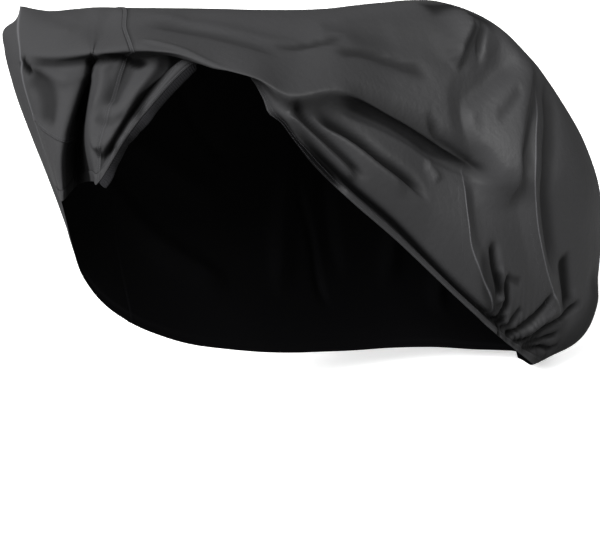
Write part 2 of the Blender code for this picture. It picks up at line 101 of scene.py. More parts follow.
# %% Sections of the far side
FAR_SECTIONS = (
    # roof, lip, tuck, belly, hem
    ((0.142, 0.520, 1.088), (0.134, 0.522, 1.033), (0.146, 0.516, 0.960),
     (0.173, 0.490, 0.836), (0.221, 0.440, 0.662)),
    ((0.215, 0.555, 1.085), (0.215, 0.565, 1.020), (0.215, 0.560, 0.940),
     (0.235, 0.535, 0.780), (0.240, 0.425, 0.540)),
    ((0.275, 0.560, 1.080), (0.280, 0.575, 1.000), (0.285, 0.570, 0.900),
     (0.300, 0.540, 0.720), (0.262, 0.420, 0.470)),
    ((0.330, 0.545, 1.078), (0.340, 0.565, 0.980), (0.350, 0.565, 0.860),
     (0.365, 0.535, 0.640), (0.310, 0.405, 0.395)),
    ((0.390, 0.520, 1.076), (0.410, 0.545, 0.965), (0.420, 0.550, 0.830),
     (0.440, 0.525, 0.570), (0.385, 0.390, 0.330)),
    ((0.460, 0.490, 1.072), (0.480, 0.520, 0.950), (0.495, 0.535, 0.800),
     (0.520, 0.515, 0.520), (0.480, 0.380, 0.275)),
    ((0.535, 0.460, 1.068), (0.555, 0.495, 0.940), (0.570, 0.515, 0.780),
     (0.600, 0.500, 0.480), (0.580, 0.370, 0.230)),
    ((0.610, 0.430, 1.062), (0.635, 0.470, 0.930), (0.650, 0.495, 0.760),
     (0.690, 0.485, 0.440), (0.690, 0.355, 0.195)),
    ((0.700, 0.400, 1.058), (0.720, 0.445, 0.920), (0.740, 0.475, 0.740),
     (0.780, 0.470, 0.410), (0.800, 0.335, 0.165)),
    ((0.800, 0.370, 1.055), (0.825, 0.420, 0.910), (0.845, 0.455, 0.720),
     (0.885, 0.455, 0.380), (0.910, 0.320, 0.140)),
    ((0.905, 0.345, 1.052), (0.930, 0.400, 0.900), (0.955, 0.440, 0.700),
     (1.000, 0.440, 0.350), (1.020, 0.305, 0.120)),
    ((1.060, 0.315, 1.050), (1.085, 0.375, 0.880), (1.110, 0.415, 0.670),
     (1.150, 0.420, 0.320), (1.140, 0.285, 0.100)),
    ((1.250, 0.285, 1.035), (1.280, 0.345, 0.860), (1.305, 0.385, 0.640),
     (1.340, 0.390, 0.290), (1.270, 0.250, 0.085)),
    ((1.460, 0.235, 0.970), (1.500, 0.295, 0.780), (1.525, 0.325, 0.570),
     (1.540, 0.330, 0.250), (1.400, 0.190, 0.070)),
    ((1.635, 0.165, 0.865), (1.695, 0.220, 0.690), (1.715, 0.245, 0.500),
     (1.715, 0.245, 0.190), (1.500, 0.120, 0.055)),
    ((1.735, 0.080, 0.790), (1.820, 0.120, 0.610), (1.850, 0.135, 0.460),
     (1.830, 0.135, 0.150), (1.550, 0.055, 0.055)),
)
print("sections:", len(NEAR_SECTIONS), "near,", len(FAR_SECTIONS), "far")

# %% [markdown]
# ## From sections to a grid
#
# A smooth curve is drawn through each row of named points, first round the cover and then over
# it. The curve is a Hermite spline whose tangents come from the neighbouring points, so it
# passes through every point in the tables and never needs hand-made handles.

# %% A smooth curve
def curve_through(knots, points, where, around=False):
    """Smooth curve through points at increasing knots, read at the values where."""
    knots = np.asarray(knots, float)
    points = np.asarray(points, float)
    if around:
        points = np.concatenate([points[-1:], points, points[:2]])
        knots = np.concatenate([[knots[0] - (knots[-1] - knots[-2])], knots,
                                [knots[-1] + knots[1] - knots[0]]])
    spans = np.diff(knots).reshape((-1,) + (1,) * (points.ndim - 1))
    slopes = np.diff(points, axis=0) / spans
    tangents = np.empty_like(points)
    tangents[1:-1] = (slopes[:-1] * spans[1:] + slopes[1:] * spans[:-1]) / (spans[:-1] + spans[1:])
    tangents[0] = slopes[0]
    tangents[-1] = slopes[-1]
    span = np.clip(np.searchsorted(knots, where, side="right") - 1, 0, len(knots) - 2)
    width = knots[span + 1] - knots[span]
    part = ((where - knots[span]) / width).reshape((-1,) + (1,) * (points.ndim - 1))
    width = width.reshape(part.shape)
    return ((2 * part**3 - 3 * part**2 + 1) * points[span]
            + (part**3 - 2 * part**2 + part) * width * tangents[span]
            + (3 * part**2 - 2 * part**3) * points[span + 1]
            + (part**3 - part**2) * width * tangents[span + 1])


# %% The grid
# Levels are spaced by the solids' rows, so that both follow the same curves.
LEVEL_STEPS = {"ridge": 3, "roof": 3, "lip": 3, "tuck": 6, "belly": 8}
# The sheet's rows from one level to the next, and its columns from one section to the next.
FINE_ROWS = {"ridge": 10, "roof": 20, "lip": 10, "tuck": 22, "belly": 34}
FINE_COLUMNS = (8, 15, 18, 24, 21, 14, 14, 12, 10, 14, 20, 24, 26, 32, 38, 30, 20)


def draped_grid():
    """Points of the cloth's outer face: (column, row, xyz), near hem, ridge, far hem."""
    near = [np.array(row) for row in NEAR_SECTIONS]
    far = [np.array((near[number + 1][0],) + row) for number, row in enumerate(FAR_SECTIONS)]
    ring = np.array(near + far[::-1])
    last = len(NEAR_SECTIONS) - 1
    chords = np.linalg.norm(np.roll(ring, -1, axis=0) - ring, axis=2).mean(axis=1)
    spans = np.sqrt((chords[:last] + chords[last:][::-1]) / 2)
    knots = np.concatenate([[0.0], np.cumsum(np.concatenate([spans, spans[::-1]]))])
    places = [knots[number] + spans[number] * step / FINE_COLUMNS[number]
              for number in range(last) for step in range(FINE_COLUMNS[number])]
    places = np.array(places + [knots[last]])
    near_lines = curve_through(knots, ring, places, around=True)
    far_lines = curve_through(knots, ring, (knots[-1] - places) % knots[-1], around=True)
    lines = np.concatenate([near_lines[:, :0:-1], far_lines], axis=1)
    side_knots = np.concatenate([[0], np.cumsum(list(LEVEL_STEPS.values()))])
    level_knots = np.concatenate([-side_knots[:0:-1], side_knots])
    rows = np.concatenate([[0.0]] + [np.linspace(first, last, steps + 1)[1:] for first, last, steps
                                     in zip(side_knots, side_knots[1:], FINE_ROWS.values())])
    rows = np.concatenate([-rows[:0:-1], rows])
    return curve_through(level_knots, lines.transpose(1, 0, 2), rows).transpose(1, 0, 2)


grid = draped_grid()
COLUMNS, ROWS = grid.shape[:2]
RIDGE = ROWS // 2
print("grid:", COLUMNS, "columns by", ROWS, "rows")

# %% Shared vertices
# At both ends of the cover the near and the far side meet, so there they share vertices.
numbers = np.arange(COLUMNS * ROWS).reshape(COLUMNS, ROWS)
for end in (0, COLUMNS - 1):
    numbers[end, RIDGE + 1:] = numbers[end, :RIDGE][::-1]
print("shared vertices:", 2 * RIDGE)

# %% Normals
TINY = 1e-12


def unit(vectors):
    """Vectors on the last axis, each brought to length one."""
    return vectors / np.linalg.norm(vectors, axis=-1, keepdims=True).clip(TINY)


def face_corners(block):
    """The four corners of every face of a block of the grid, anticlockwise from outside."""
    return block[:-1, :-1], block[1:, :-1], block[1:, 1:], block[:-1, 1:]


def outward_normals(points):
    """Unit normals at the vertices, averaged evenly over the faces that meet there."""
    corners = face_corners(numbers)
    a, b, c, d = (points[corner] for corner in corners)
    face_normals = unit(np.cross(c - a, d - b))
    normals = np.zeros_like(points)
    for corner in corners:
        np.add.at(normals, corner, face_normals)
    return unit(normals)


def softened(vectors, passes):
    """Unit vectors averaged with their neighbours on the grid, so that they turn slowly."""
    pairs = np.concatenate([
        np.stack([numbers[1:].ravel(), numbers[:-1].ravel()], axis=1),
        np.stack([numbers[:, 1:].ravel(), numbers[:, :-1].ravel()], axis=1)])
    for _ in range(passes):
        total = vectors.copy()
        np.add.at(total, pairs[:, 0], vectors[pairs[:, 1]])
        np.add.at(total, pairs[:, 1], vectors[pairs[:, 0]])
        vectors = unit(total)
    return vectors


# %% [markdown]
# ## Folds pressed in
#
# Thin cloth under tension doesn't wave evenly: it makes long creases with a crest on one side
# and a hollow on the other. Each fold here is a path with a width, a height, a sharpness and a
# lean, and the sheet is raised or sunk along it. Its shade, from 0 to 1, is painted shade: how
# much darker the fold's cloth is coloured, as little light gets into a tight hollow. Some folds
# are nearly flat and only paint shade. A simulation could make folds too, but it would put them
# in places of its own.

# %% Two creases that are also drawn as fine lines, with a bump and a painted highlight
FRONT_CREASE = (
    (1.12, 0.71), (1.105, 0.69), (1.06, 0.61), (1.045, 0.565), (1.04, 0.52), (1.05, 0.49),
    (1.07, 0.455), (1.095, 0.415), (1.14, 0.355), (1.17, 0.305), (1.185, 0.275))
REAR_CREASE = (
    (1.56, 0.88), (1.505, 0.83), (1.43, 0.76), (1.38, 0.69), (1.355, 0.64), (1.36, 0.57),
    (1.37, 0.495), (1.39, 0.43), (1.415, 0.37), (1.46, 0.30), (1.53, 0.22), (1.56, 0.16))

# %% Folds of the near side
NEAR_FOLDS = (
    # name, half_width, height, sharpness, lean, shade, path of (x, height)
    ("gap below roll", 0.013, -0.018, 0.0, 0.0, 1.0,
     ((0.42, 0.93), (0.445, 0.89), (0.48, 0.84), (0.55, 0.78), (0.59, 0.745), (0.64, 0.70))),
    ("finger roll", 0.014, 0.016, 0.0, 0.0, 0.0,
     ((0.43, 0.93), (0.46, 0.905), (0.51, 0.855), (0.565, 0.805), (0.61, 0.765), (0.655, 0.72))),
    ("gap above roll", 0.012, -0.014, 0.0, 0.0, 0.9,
     ((0.46, 0.945), (0.50, 0.905), (0.55, 0.86), (0.60, 0.815), (0.645, 0.77), (0.685, 0.725))),
    ("bar crest", 0.018, 0.009, 0.0, 0.0, 0.0,
     ((0.54, 0.91), (0.57, 0.885), (0.635, 0.835), (0.70, 0.775), (0.785, 0.705), (0.82, 0.67))),
    ("long valley", 0.016, -0.019, 0.2, 0.2, 1.0,
     ((0.54, 0.915), (0.58, 0.88), (0.645, 0.845), (0.71, 0.805), (0.76, 0.765), (0.82, 0.725),
      (0.865, 0.69), (0.91, 0.645))),
    ("shoulder valley", 0.045, -0.022, 1.0, 0.55, 0.6,
     ((0.62, 0.92), (0.66, 0.905), (0.70, 0.89), (0.755, 0.87), (0.83, 0.84), (0.92, 0.795),
      (1.01, 0.74), (1.10, 0.70), (1.17, 0.67), (1.22, 0.65))),
    ("shoulder branch", 0.017, -0.012, 0.2, 0.3, 0.7,
     ((0.97, 0.865), (0.98, 0.83), (0.995, 0.79), (1.05, 0.75), (1.135, 0.70), (1.19, 0.665))),
    ("shoulder knuckle", 0.020, 0.006, 0.0, 0.0, 0.0,
     ((0.955, 0.735), (0.965, 0.72), (0.975, 0.70), (0.98, 0.68))),
    ("pinch facet", 0.055, 0.026, 1.0, -0.6, 0.0,
     ((1.31, 1.065), (1.29, 1.05), (1.255, 1.025), (1.215, 1.0), (1.175, 0.975), (1.15, 0.955))),
    ("pinch fold one", 0.011, -0.008, 0.3, 0.0, 0.5,
     ((1.31, 1.06), (1.295, 1.048), (1.265, 1.025), (1.23, 1.0), (1.19, 0.975))),
    ("pinch fold two", 0.011, -0.009, 0.3, 0.0, 0.6,
     ((1.36, 1.065), (1.35, 1.05), (1.325, 1.03), (1.295, 1.0), (1.275, 0.96))),
    ("pinch edge", 0.045, 0.005, 1.0, 0.5, 0.0,
     ((1.35, 1.06), (1.34, 1.045), (1.33, 1.02), (1.32, 1.00), (1.31, 0.965), (1.30, 0.94))),
    ("facet crest", 0.085, 0.032, 1.0, -0.5, 0.0,
     ((1.56, 0.955), (1.53, 0.92), (1.455, 0.86), (1.39, 0.81), (1.335, 0.76), (1.29, 0.715),
      (1.27, 0.67), (1.255, 0.61), (1.25, 0.56))),
    ("facet edge", 0.045, -0.012, 1.0, -0.3, 0.15,
     ((1.47, 0.955), (1.40, 0.935), (1.285, 0.905), (1.19, 0.88), (1.14, 0.86), (1.12, 0.81),
      (1.13, 0.76), (1.17, 0.70), (1.21, 0.65))),
    ("facet stripe", 0.011, -0.005, 0.0, 0.0, 0.35,
     ((1.41, 0.87), (1.36, 0.85), (1.30, 0.825), (1.25, 0.81))),
    ("band hollow", 0.030, -0.008, 0.0, 0.0, 0.4,
     ((1.58, 0.93), (1.54, 0.90), (1.48, 0.855), (1.40, 0.785), (1.35, 0.715), (1.33, 0.62))),
    ("rear crease", 0.060, 0.016, 1.0, 0.0, 0.0, REAR_CREASE),
    ("rear valley", 0.036, -0.011, 0.0, 0.3, 0.6,
     ((1.66, 0.89), (1.59, 0.82), (1.53, 0.745), (1.46, 0.67), (1.42, 0.60), (1.43, 0.51),
      (1.45, 0.42), (1.49, 0.34))),
    ("front crease", 0.090, 0.016, 1.0, -0.5, 0.0, FRONT_CREASE),
    ("low valley one", 0.018, -0.020, 0.1, 0.0, 1.0,
     ((1.155, 0.51), (1.155, 0.48), (1.155, 0.445), (1.16, 0.42), (1.17, 0.39), (1.18, 0.36),
      (1.18, 0.33))),
    ("low shade", 0.022, -0.006, 0.0, 0.0, 0.6,
     ((1.10, 0.50), (1.11, 0.43), (1.14, 0.36), (1.175, 0.32), (1.195, 0.27))),
    ("low valley two", 0.015, -0.016, 0.0, 0.0, 1.0,
     ((1.205, 0.41), (1.215, 0.38), (1.22, 0.35), (1.225, 0.31), (1.215, 0.28), (1.21, 0.24))),
    ("low star", 0.012, -0.006, 0.0, 0.0, 0.5,
     ((1.205, 0.40), (1.22, 0.39), (1.245, 0.38), (1.29, 0.365))),
    ("low crest", 0.014, 0.009, 0.0, 0.0, 0.0,
     ((1.17, 0.43), (1.185, 0.40), (1.19, 0.36), (1.20, 0.32))),
    ("corner valley", 0.029, -0.017, 0.0, 0.0, 1.0,
     ((1.54, 0.40), (1.545, 0.37), (1.555, 0.335), (1.565, 0.295), (1.575, 0.255), (1.60, 0.22))),
    ("corner curl", 0.022, 0.007, 0.0, 0.0, 0.0,
     ((1.60, 0.26), (1.62, 0.25), (1.64, 0.225), (1.655, 0.195))),
    ("gather soft", 0.014, -0.010, 0.2, 0.0, 0.8,
     ((1.30, 0.295), (1.28, 0.27), (1.26, 0.245), (1.25, 0.23), (1.235, 0.21))),
    ("gather one", 0.015, -0.019, 0.4, 0.0, 1.0,
     ((1.24, 0.195), (1.27, 0.205), (1.31, 0.22), (1.345, 0.23), (1.385, 0.24), (1.42, 0.255),
      (1.45, 0.285), (1.47, 0.30))),
    ("gather two", 0.010, -0.012, 0.4, 0.0, 1.0,
     ((1.27, 0.19), (1.32, 0.182), (1.37, 0.178), (1.415, 0.185), (1.45, 0.193), (1.48, 0.205))),
    ("gather three", 0.012, -0.016, 0.3, 0.0, 1.0,
     ((1.37, 0.158), (1.42, 0.17), (1.46, 0.182), (1.50, 0.19), (1.55, 0.197), (1.60, 0.212),
      (1.66, 0.235))),
    ("gather ridge", 0.012, 0.010, 0.0, 0.0, 0.0,
     ((1.33, 0.20), (1.38, 0.208), (1.43, 0.215), (1.47, 0.23), (1.51, 0.25))),
    ("gather four", 0.011, -0.015, 0.4, 0.0, 1.0,
     ((1.32, 0.16), (1.37, 0.15), (1.445, 0.13), (1.52, 0.115), (1.57, 0.115))),
    ("gather five", 0.009, -0.011, 0.4, 0.0, 1.0,
     ((1.34, 0.172), (1.39, 0.16), (1.45, 0.155), (1.51, 0.155), (1.56, 0.16))),
    ("gather six", 0.010, -0.011, 0.3, 0.0, 1.0,
     ((1.215, 0.215), (1.225, 0.235), (1.23, 0.26), (1.23, 0.285))),
    # this row and the next barely change the shape: they are strokes of painted shade
    ("gather shade", 0.045, -0.001, 0.0, 0.0, 0.45,
     ((1.20, 0.25), (1.27, 0.20), (1.35, 0.175), (1.44, 0.165), (1.53, 0.17), (1.62, 0.19))),
    ("bag shade", 0.060, -0.002, 0.0, 0.0, 0.55,
     ((1.36, 0.12), (1.44, 0.10), (1.53, 0.095), (1.63, 0.11), (1.71, 0.15), (1.77, 0.22),
      (1.80, 0.32))),
    ("bottom bag", 0.085, 0.022, 0.0, 0.0, 0.0,
     ((1.44, 0.08), (1.50, 0.075), (1.58, 0.08), (1.66, 0.10), (1.73, 0.15), (1.77, 0.21),
      (1.79, 0.28))),
)
print("near folds:", len(NEAR_FOLDS))

# %% Folds of the front curtain and the top
FRONT_FOLDS = (
    # name, half_width, height, sharpness, lean, shade, path of (y, height)
    ("brow valley", 0.012, -0.009, 0.0, 0.0, 0.7,
     ((0.44, 1.015), (0.41, 1.015), (0.37, 1.015), (0.30, 1.02), (0.24, 1.03), (0.17, 1.04),
      (0.10, 1.035))),
    ("corner pocket", 0.015, -0.008, 0.0, 0.0, 1.0,
     ((0.455, 1.02), (0.445, 1.01), (0.43, 0.997), (0.415, 0.99))),
    ("front hollow", 0.028, -0.012, 0.0, 0.0, 0.55,
     ((0.43, 0.985), (0.405, 0.97), (0.385, 0.95), (0.375, 0.92), (0.375, 0.89), (0.378, 0.86))),
    ("corner finger", 0.014, 0.008, 0.2, 0.0, 0.0,
     ((0.456, 1.025), (0.435, 1.015), (0.413, 1.003), (0.38, 0.988), (0.351, 0.976),
      (0.311, 0.969))),
    ("front crest one", 0.010, 0.003, 0.0, 0.0, 0.0,
     ((0.42, 1.02), (0.40, 1.013), (0.365, 1.005), (0.34, 0.993), (0.32, 0.985))),
    ("front crest two", 0.010, 0.003, 0.0, 0.0, 0.0,
     ((0.365, 1.02), (0.355, 1.015), (0.335, 1.003), (0.31, 0.985), (0.295, 0.975))),
    ("wedge crest", 0.014, 0.009, 0.4, 0.0, 0.0,
     ((0.255, 1.05), (0.262, 1.03), (0.275, 1.00), (0.268, 0.965), (0.265, 0.93), (0.262, 0.90))),
    ("wedge valley one", 0.015, -0.012, 0.0, 0.0, 0.5,
     ((0.225, 1.035), (0.230, 1.01), (0.235, 0.976), (0.238, 0.949), (0.237, 0.915))),
    ("wedge scallop", 0.011, -0.006, 0.0, 0.0, 1.0,
     ((0.265, 1.035), (0.25, 1.025), (0.24, 1.025), (0.23, 1.015), (0.212, 1.01), (0.195, 1.025))),
    ("wedge valley two", 0.012, -0.013, 0.2, 0.0, 0.8,
     ((0.16, 1.04), (0.162, 1.02), (0.168, 0.985), (0.176, 0.95), (0.18, 0.912), (0.185, 0.872))),
    ("pouch", 0.022, 0.012, 0.0, 0.0, 0.0,
     ((0.25, 0.815), (0.233, 0.827), (0.218, 0.839), (0.207, 0.848), (0.195, 0.86))),
    ("pouch crescent", 0.009, -0.008, 0.0, 0.0, 0.8,
     ((0.242, 0.83), (0.238, 0.82), (0.232, 0.811), (0.226, 0.812), (0.218, 0.82), (0.205, 0.83))),
    ("pouch neck", 0.010, -0.005, 0.0, 0.0, 0.3,
     ((0.26, 0.90), (0.237, 0.885), (0.22, 0.89), (0.21, 0.895), (0.19, 0.90))),
)
TOP_FOLDS = (
    # name, half_width, height, sharpness, lean, shade, path of (x, y)
    ("corner facet", 0.040, 0.005, 1.0, -0.3, 0.0,
     ((0.15, 0.50), (0.158, 0.49), (0.19, 0.455), (0.21, 0.405), (0.225, 0.36))),
    # the next two rows are shallow strokes of painted shade
    ("top shade", 0.034, -0.008, 0.0, 0.0, 0.9,
     ((1.12, 0.06), (1.20, 0.06), (1.28, 0.055), (1.36, 0.045), (1.44, 0.03))),
    ("roof shade", 0.060, -0.004, 0.0, 0.0, 0.3,
     ((0.78, 0.04), (0.90, 0.02), (1.02, 0.01), (1.14, 0.0), (1.24, -0.01))),
    ("brow line", 0.010, 0.006, 0.3, 0.0, 0.0,
     ((0.27, 0.20), (0.280, 0.183), (0.297, 0.138), (0.315, 0.097), (0.330, 0.054), (0.341, 0.017),
      (0.35, -0.02))),
    ("roof line", 0.022, 0.006, 0.3, 0.0, 0.0,
     ((0.35, 0.30), (0.419, 0.242), (0.516, 0.148), (0.624, 0.055), (0.70, 0.0))),
    # the rest of these rows are shallow strokes of painted shade
    ("roof band", 0.022, -0.004, 0.0, 0.0, 0.35,
     ((0.345, 0.27), (0.385, 0.225), (0.432, 0.163), (0.482, 0.097), (0.527, 0.043),
      (0.56, 0.01))),
    ("roof shade streak one", 0.024, -0.008, 0.2, 0.0, 0.2,
     ((0.76, 0.09), (0.79, 0.075), (0.84, 0.05), (0.95, 0.03), (1.0, 0.03))),
    ("roof shade streak two", 0.013, -0.007, 0.0, 0.0, 0.6,
     ((0.70, -0.02), (0.765, -0.012), (0.83, -0.012), (0.90, -0.02), (0.98, -0.035),
      (1.06, -0.045))),
    ("roof shade streak three", 0.012, -0.005, 0.0, 0.0, 0.55,
     ((0.57, 0.065), (0.62, 0.04), (0.67, 0.033), (0.73, 0.028), (0.79, 0.02))),
)
print("front folds:", len(FRONT_FOLDS), "and top folds:", len(TOP_FOLDS))

# %% Folds of the far side
FAR_FOLDS = (
    # name, half_width, height, sharpness, lean, shade, path of (x, height)
    ("corner swag", 0.045, -0.022, 0.2, 0.2, 0.3, ((0.28, 1.00), (0.50, 0.78), (0.80, 0.55))),
    ("second swag", 0.040, -0.018, 0.3, -0.2, 0.3, ((0.36, 0.78), (0.55, 0.52), (0.80, 0.33))),
    ("middle drop", 0.045, -0.018, 0.3, 0.3, 0.3, ((0.98, 1.00), (1.00, 0.65), (0.97, 0.25))),
    ("saddle fold", 0.040, 0.016, 0.3, -0.3, 0.0, ((1.20, 1.00), (1.16, 0.65), (1.22, 0.25))),
    ("rear drop", 0.040, -0.018, 0.3, 0.2, 0.3, ((1.40, 0.90), (1.44, 0.55), (1.38, 0.20))),
    ("rear gather", 0.030, -0.018, 0.3, 0.0, 0.3, ((1.66, 0.60), (1.64, 0.35), (1.50, 0.12))),
    ("short crease", 0.022, 0.010, 0.3, 0.3, 0.0, ((0.62, 0.98), (0.70, 0.80), (0.83, 0.66))),
    ("thin crease", 0.020, 0.010, 0.3, -0.3, 0.0, ((1.05, 0.60), (1.12, 0.42), (1.13, 0.20))),
)
print("far folds:", len(FAR_FOLDS))

# %% [markdown]
# ## Pressing the folds in
#
# A fold's rise dies away from its path like a bell curve. A sharpness near 1 pulls that bell
# into a crest, as a hard crease has, and a lean makes one side longer than the other, which is
# what turns a bump into a facet that catches the light. Folds are pressed along softened
# normals, so that neighbouring folds don't fight each other.

# %% Fading in and out
FOLD_FADE = 0.18             # share of a fold's length over which each of its ends dies away


def smooth_step(value):
    """0 to 1 with level ends, for values from 0 to 1."""
    value = np.clip(value, 0.0, 1.0)
    return value * value * (3 - 2 * value)


def faded_ends(along):
    """1 in the middle of a fold and 0 at its ends, for places along it from 0 to 1."""
    return smooth_step(along / FOLD_FADE) * smooth_step((1 - along) / FOLD_FADE)


# %% The distance to a fold's path
PATH_STEPS = 8               # points of the smooth path for each point of the table


def smooth_path(path):
    """A path with more points, curved through the given ones."""
    path = np.array(path, float)
    lengths = np.linalg.norm(np.diff(path, axis=0), axis=1)
    knots = np.concatenate([[0.0], np.cumsum(lengths)])
    return curve_through(knots, path, np.linspace(0.0, knots[-1], PATH_STEPS * len(path)))


def distance_to_path(flat, path):
    """Distance from a path, the side of it (1 left, -1 right), and the place along it, 0 to 1."""
    lengths = np.linalg.norm(np.diff(path, axis=0), axis=1)
    starts = np.concatenate([[0.0], np.cumsum(lengths)])
    nearest = np.full(len(flat), np.inf)
    side = np.ones(len(flat))
    along = np.zeros(len(flat))
    for number, length in enumerate(lengths):
        direction = (path[number + 1] - path[number]) / length
        offset = flat - path[number]
        run = np.clip(offset @ direction, 0.0, length)
        distance = np.linalg.norm(offset - run[:, None] * direction, axis=1)
        closer = distance < nearest
        turn = direction[0] * offset[:, 1] - direction[1] * offset[:, 0]
        nearest[closer] = distance[closer]
        side[closer] = np.sign(turn[closer])
        along[closer] = (starts[number] + run[closer]) / starts[-1]
    return nearest, side, along


# %% A fold's profile and its painted shade
TENT_CREST = 0.10            # how round a tent's crest is, as a share of its half width
TENT_FOOT = 0.12             # and how round its foot is
HARD = 0.5                   # above this sharpness, a fold's painted shade is that of a hard crease
HARD_FALL = 1.5              # how fast the painted shade of a hard crease falls off


def fold_profile(place, sharpness):
    """A fold's rise across it: a soft bell at 0, a tent between two flat facets at 1."""
    bell = np.exp(-place ** 2)
    run = 1 + TENT_CREST - np.sqrt(place ** 2 + TENT_CREST ** 2)
    tent = (run + np.sqrt(run ** 2 + TENT_FOOT ** 2)) / 2
    return (1 - sharpness) * bell + sharpness * tent


def paint_shade(chosen, shade):
    """Paint shade on the chosen vertices, unless a darker painted shade is there already."""
    hollow[chosen] = np.maximum(hollow[chosen], shade)


def fold_shade(place, sharpness):
    """How much of its painted shade a fold has across it: a pointed bell if hard, else a wide one.
    """
    return np.exp(-HARD_FALL * place ** 2) if sharpness > HARD else np.exp(-place ** 4)


# %% Pressing a table of folds
SIDE_VIEW, FRONT_VIEW, TOP_VIEW = (0, 2), (1, 2), (0, 1)     # the two axes that a path is drawn in


def press_folds(points, directions, chosen, folds, view):
    """Raise or sink the chosen vertices along folds drawn in the view's two axes, and paint their
    shade.
    """
    chosen = np.unique(chosen)
    flat = points[chosen][:, view]
    rise = np.zeros(len(chosen))
    for _, half_width, height, sharpness, lean, shade, path in folds:
        distance, side, along = distance_to_path(flat, smooth_path(path))
        ends = faded_ends(along)
        place = distance / (half_width * (1 + lean * side))
        rise += height * ends * fold_profile(place, sharpness)
        # painted shade along the fold, stored for the cloth's colour
        paint_shade(chosen, shade * ends * fold_shade(place, sharpness))
    points[chosen] += directions[chosen] * rise[:, None]


# %% [markdown]
# ## Folds that follow the sections and the hem
#
# Some folds are easier to place by section than by height: the rolled hem beside the opening,
# the channel along the swag, and the gathers that the hem makes at the rear lower corner, where
# it is drawn in. Gathers are a wave along the hem that dies away up the cloth. Two slow sines
# make its pitch uneven, as hand-drawn gathers are, and it needs no random numbers.

# %% Lengths along the cloth, and places by section
def lengths_along(points, axis):
    """Length of cloth from the first grid line to each one, along an axis of the grid."""
    shape = points[numbers]
    steps = np.linalg.norm(np.diff(shape, axis=axis), axis=2)
    start = np.zeros_like(np.take(steps, [0], axis=axis))
    return np.concatenate([start, np.cumsum(steps, axis=axis)], axis=axis)


def section_column(section):
    """The grid's column on which a section lies."""
    return sum(FINE_COLUMNS[:section])


section_of = np.interp(np.arange(COLUMNS),
                       [section_column(number) for number in range(len(NEAR_SECTIONS))],
                       np.arange(len(NEAR_SECTIONS)))


def section_fade(sections):
    """Grows from 0 to 1 between the first two sections and dies between the last two."""
    fade_in, full, full_end, fade_out = sections
    return (smooth_step((section_of - fade_in) / (full - fade_in))
            * smooth_step((fade_out - section_of) / (fade_out - full_end)))[:, None]


# %% Folds beside the near hem
HEM_FOLDS = (
    # name, first section, last section, distance from the hem, half_width, height, shade
    ("rolled hem", 5.0, 7.6, 0.012, 0.011, 0.007, 0.0),
    ("hem recess", 5.0, 7.3, 0.043, 0.018, -0.018, 1.0),
    ("hem channel", 9.9, 14.6, 0.041, 0.015, -0.024, 1.0),
)


def press_hem_folds(points, directions, from_hem):
    """Folds that run beside the near hem, at a distance from it along the smooth cloth, with
    painted shade.
    """
    rise = np.zeros((COLUMNS, RIDGE))
    chosen = numbers[:, :RIDGE]
    for _, first, last, distance, half_width, height, shade in HEM_FOLDS:
        ends = faded_ends((section_of - first) / (last - first))[:, None]
        place = (from_hem[:, :RIDGE] - distance) / half_width
        rise += height * ends * fold_profile(place, 0.0)
        # painted shade along the hem's folds, stored for the cloth's colour
        paint_shade(chosen, shade * ends * fold_shade(place, 0.0))
    points[chosen] += directions[chosen] * rise[:, :, None]


# %% Gathers at the rear lower corner
HEM_WIDTH = 0.026
GATHER_PITCH = 0.024
GATHER_SWAYS = ((0.5, 31, 0), (0.3, 67, 1))     # turns gained and lost, rate per metre, start
GATHER_HEIGHT = 0.0048
# how much painted shade the gathers' troughs get
GATHER_SHADE = 0.8
GATHER_START = 0.015         # how far above the hem's band the gathers are full
GATHER_REACH = 0.06          # how far up the cloth they fade
GATHER_SECTIONS = (13.7, 14.2, 15.8, 16.3)


def press_gathers(points, directions, from_hem):
    """Uneven pleats that stand on the gathered part of the near hem and fan out from it, with
    painted shade in their troughs.
    """
    chosen = numbers[:, :RIDGE]
    run = lengths_along(points, 0)[:, :1]
    turns = run / GATHER_PITCH
    for sway, rate, start in GATHER_SWAYS:
        turns = turns + sway * np.sin(run * rate + start)
    above = from_hem[:, :RIDGE] - HEM_WIDTH
    amount = (section_fade(GATHER_SECTIONS) * smooth_step(above / GATHER_START)
              * np.exp(-above.clip(0) / GATHER_REACH))
    wave = np.sin(2 * math.pi * turns)
    # painted shade in the troughs of the gathers
    paint_shade(chosen, GATHER_SHADE * amount * (-wave).clip(0))
    points[chosen] += directions[chosen] * (GATHER_HEIGHT * amount * wave)[:, :, None]


# %% [markdown]
# ## Creases finer than the grid
#
# Where the cover was folded away there are hard creases only a few millimetres wide, finer
# than the grid can hold. For those the mesh only stores, at each vertex, the distance to the
# nearest crease and how strong it is there. A distance changes evenly over a face, so the
# material can draw a sharp line from it: a narrow bump, and a painted highlight on its crest.

# %% Pressed creases
CREASE_REACH = 0.03          # how far from a crease its distance is stored
CREASE_STRENGTH = 0.8
CORNER_STRENGTH = 0.55       # the front corner is creased from ridge to hem
CURTAIN_END_SECTION = 7      # the front curtain ends where the hem peaks
curtain_end = section_column(CURTAIN_END_SECTION)


def store_creases():
    """Signed distance to the nearest crease, and its strength, at every vertex."""
    distance_at = np.full(len(points), CREASE_REACH)
    strength_at = np.zeros(len(points))
    chosen = np.unique(numbers[curtain_end:, :RIDGE])
    for path in (FRONT_CREASE, REAR_CREASE):
        distance, side, along = distance_to_path(points[chosen][:, SIDE_VIEW], smooth_path(path))
        nearer = distance < np.abs(distance_at[chosen])
        distance_at[chosen[nearer]] = (distance * side)[nearer]
        strength_at[chosen[nearer]] = (CREASE_STRENGTH * faded_ends(along))[nearer]
    from_corner = lengths_along(points, 0)
    close = from_corner < CREASE_REACH
    distance_at[numbers[close]] = from_corner[close]
    strength_at[numbers[close]] = CORNER_STRENGTH
    return distance_at, strength_at
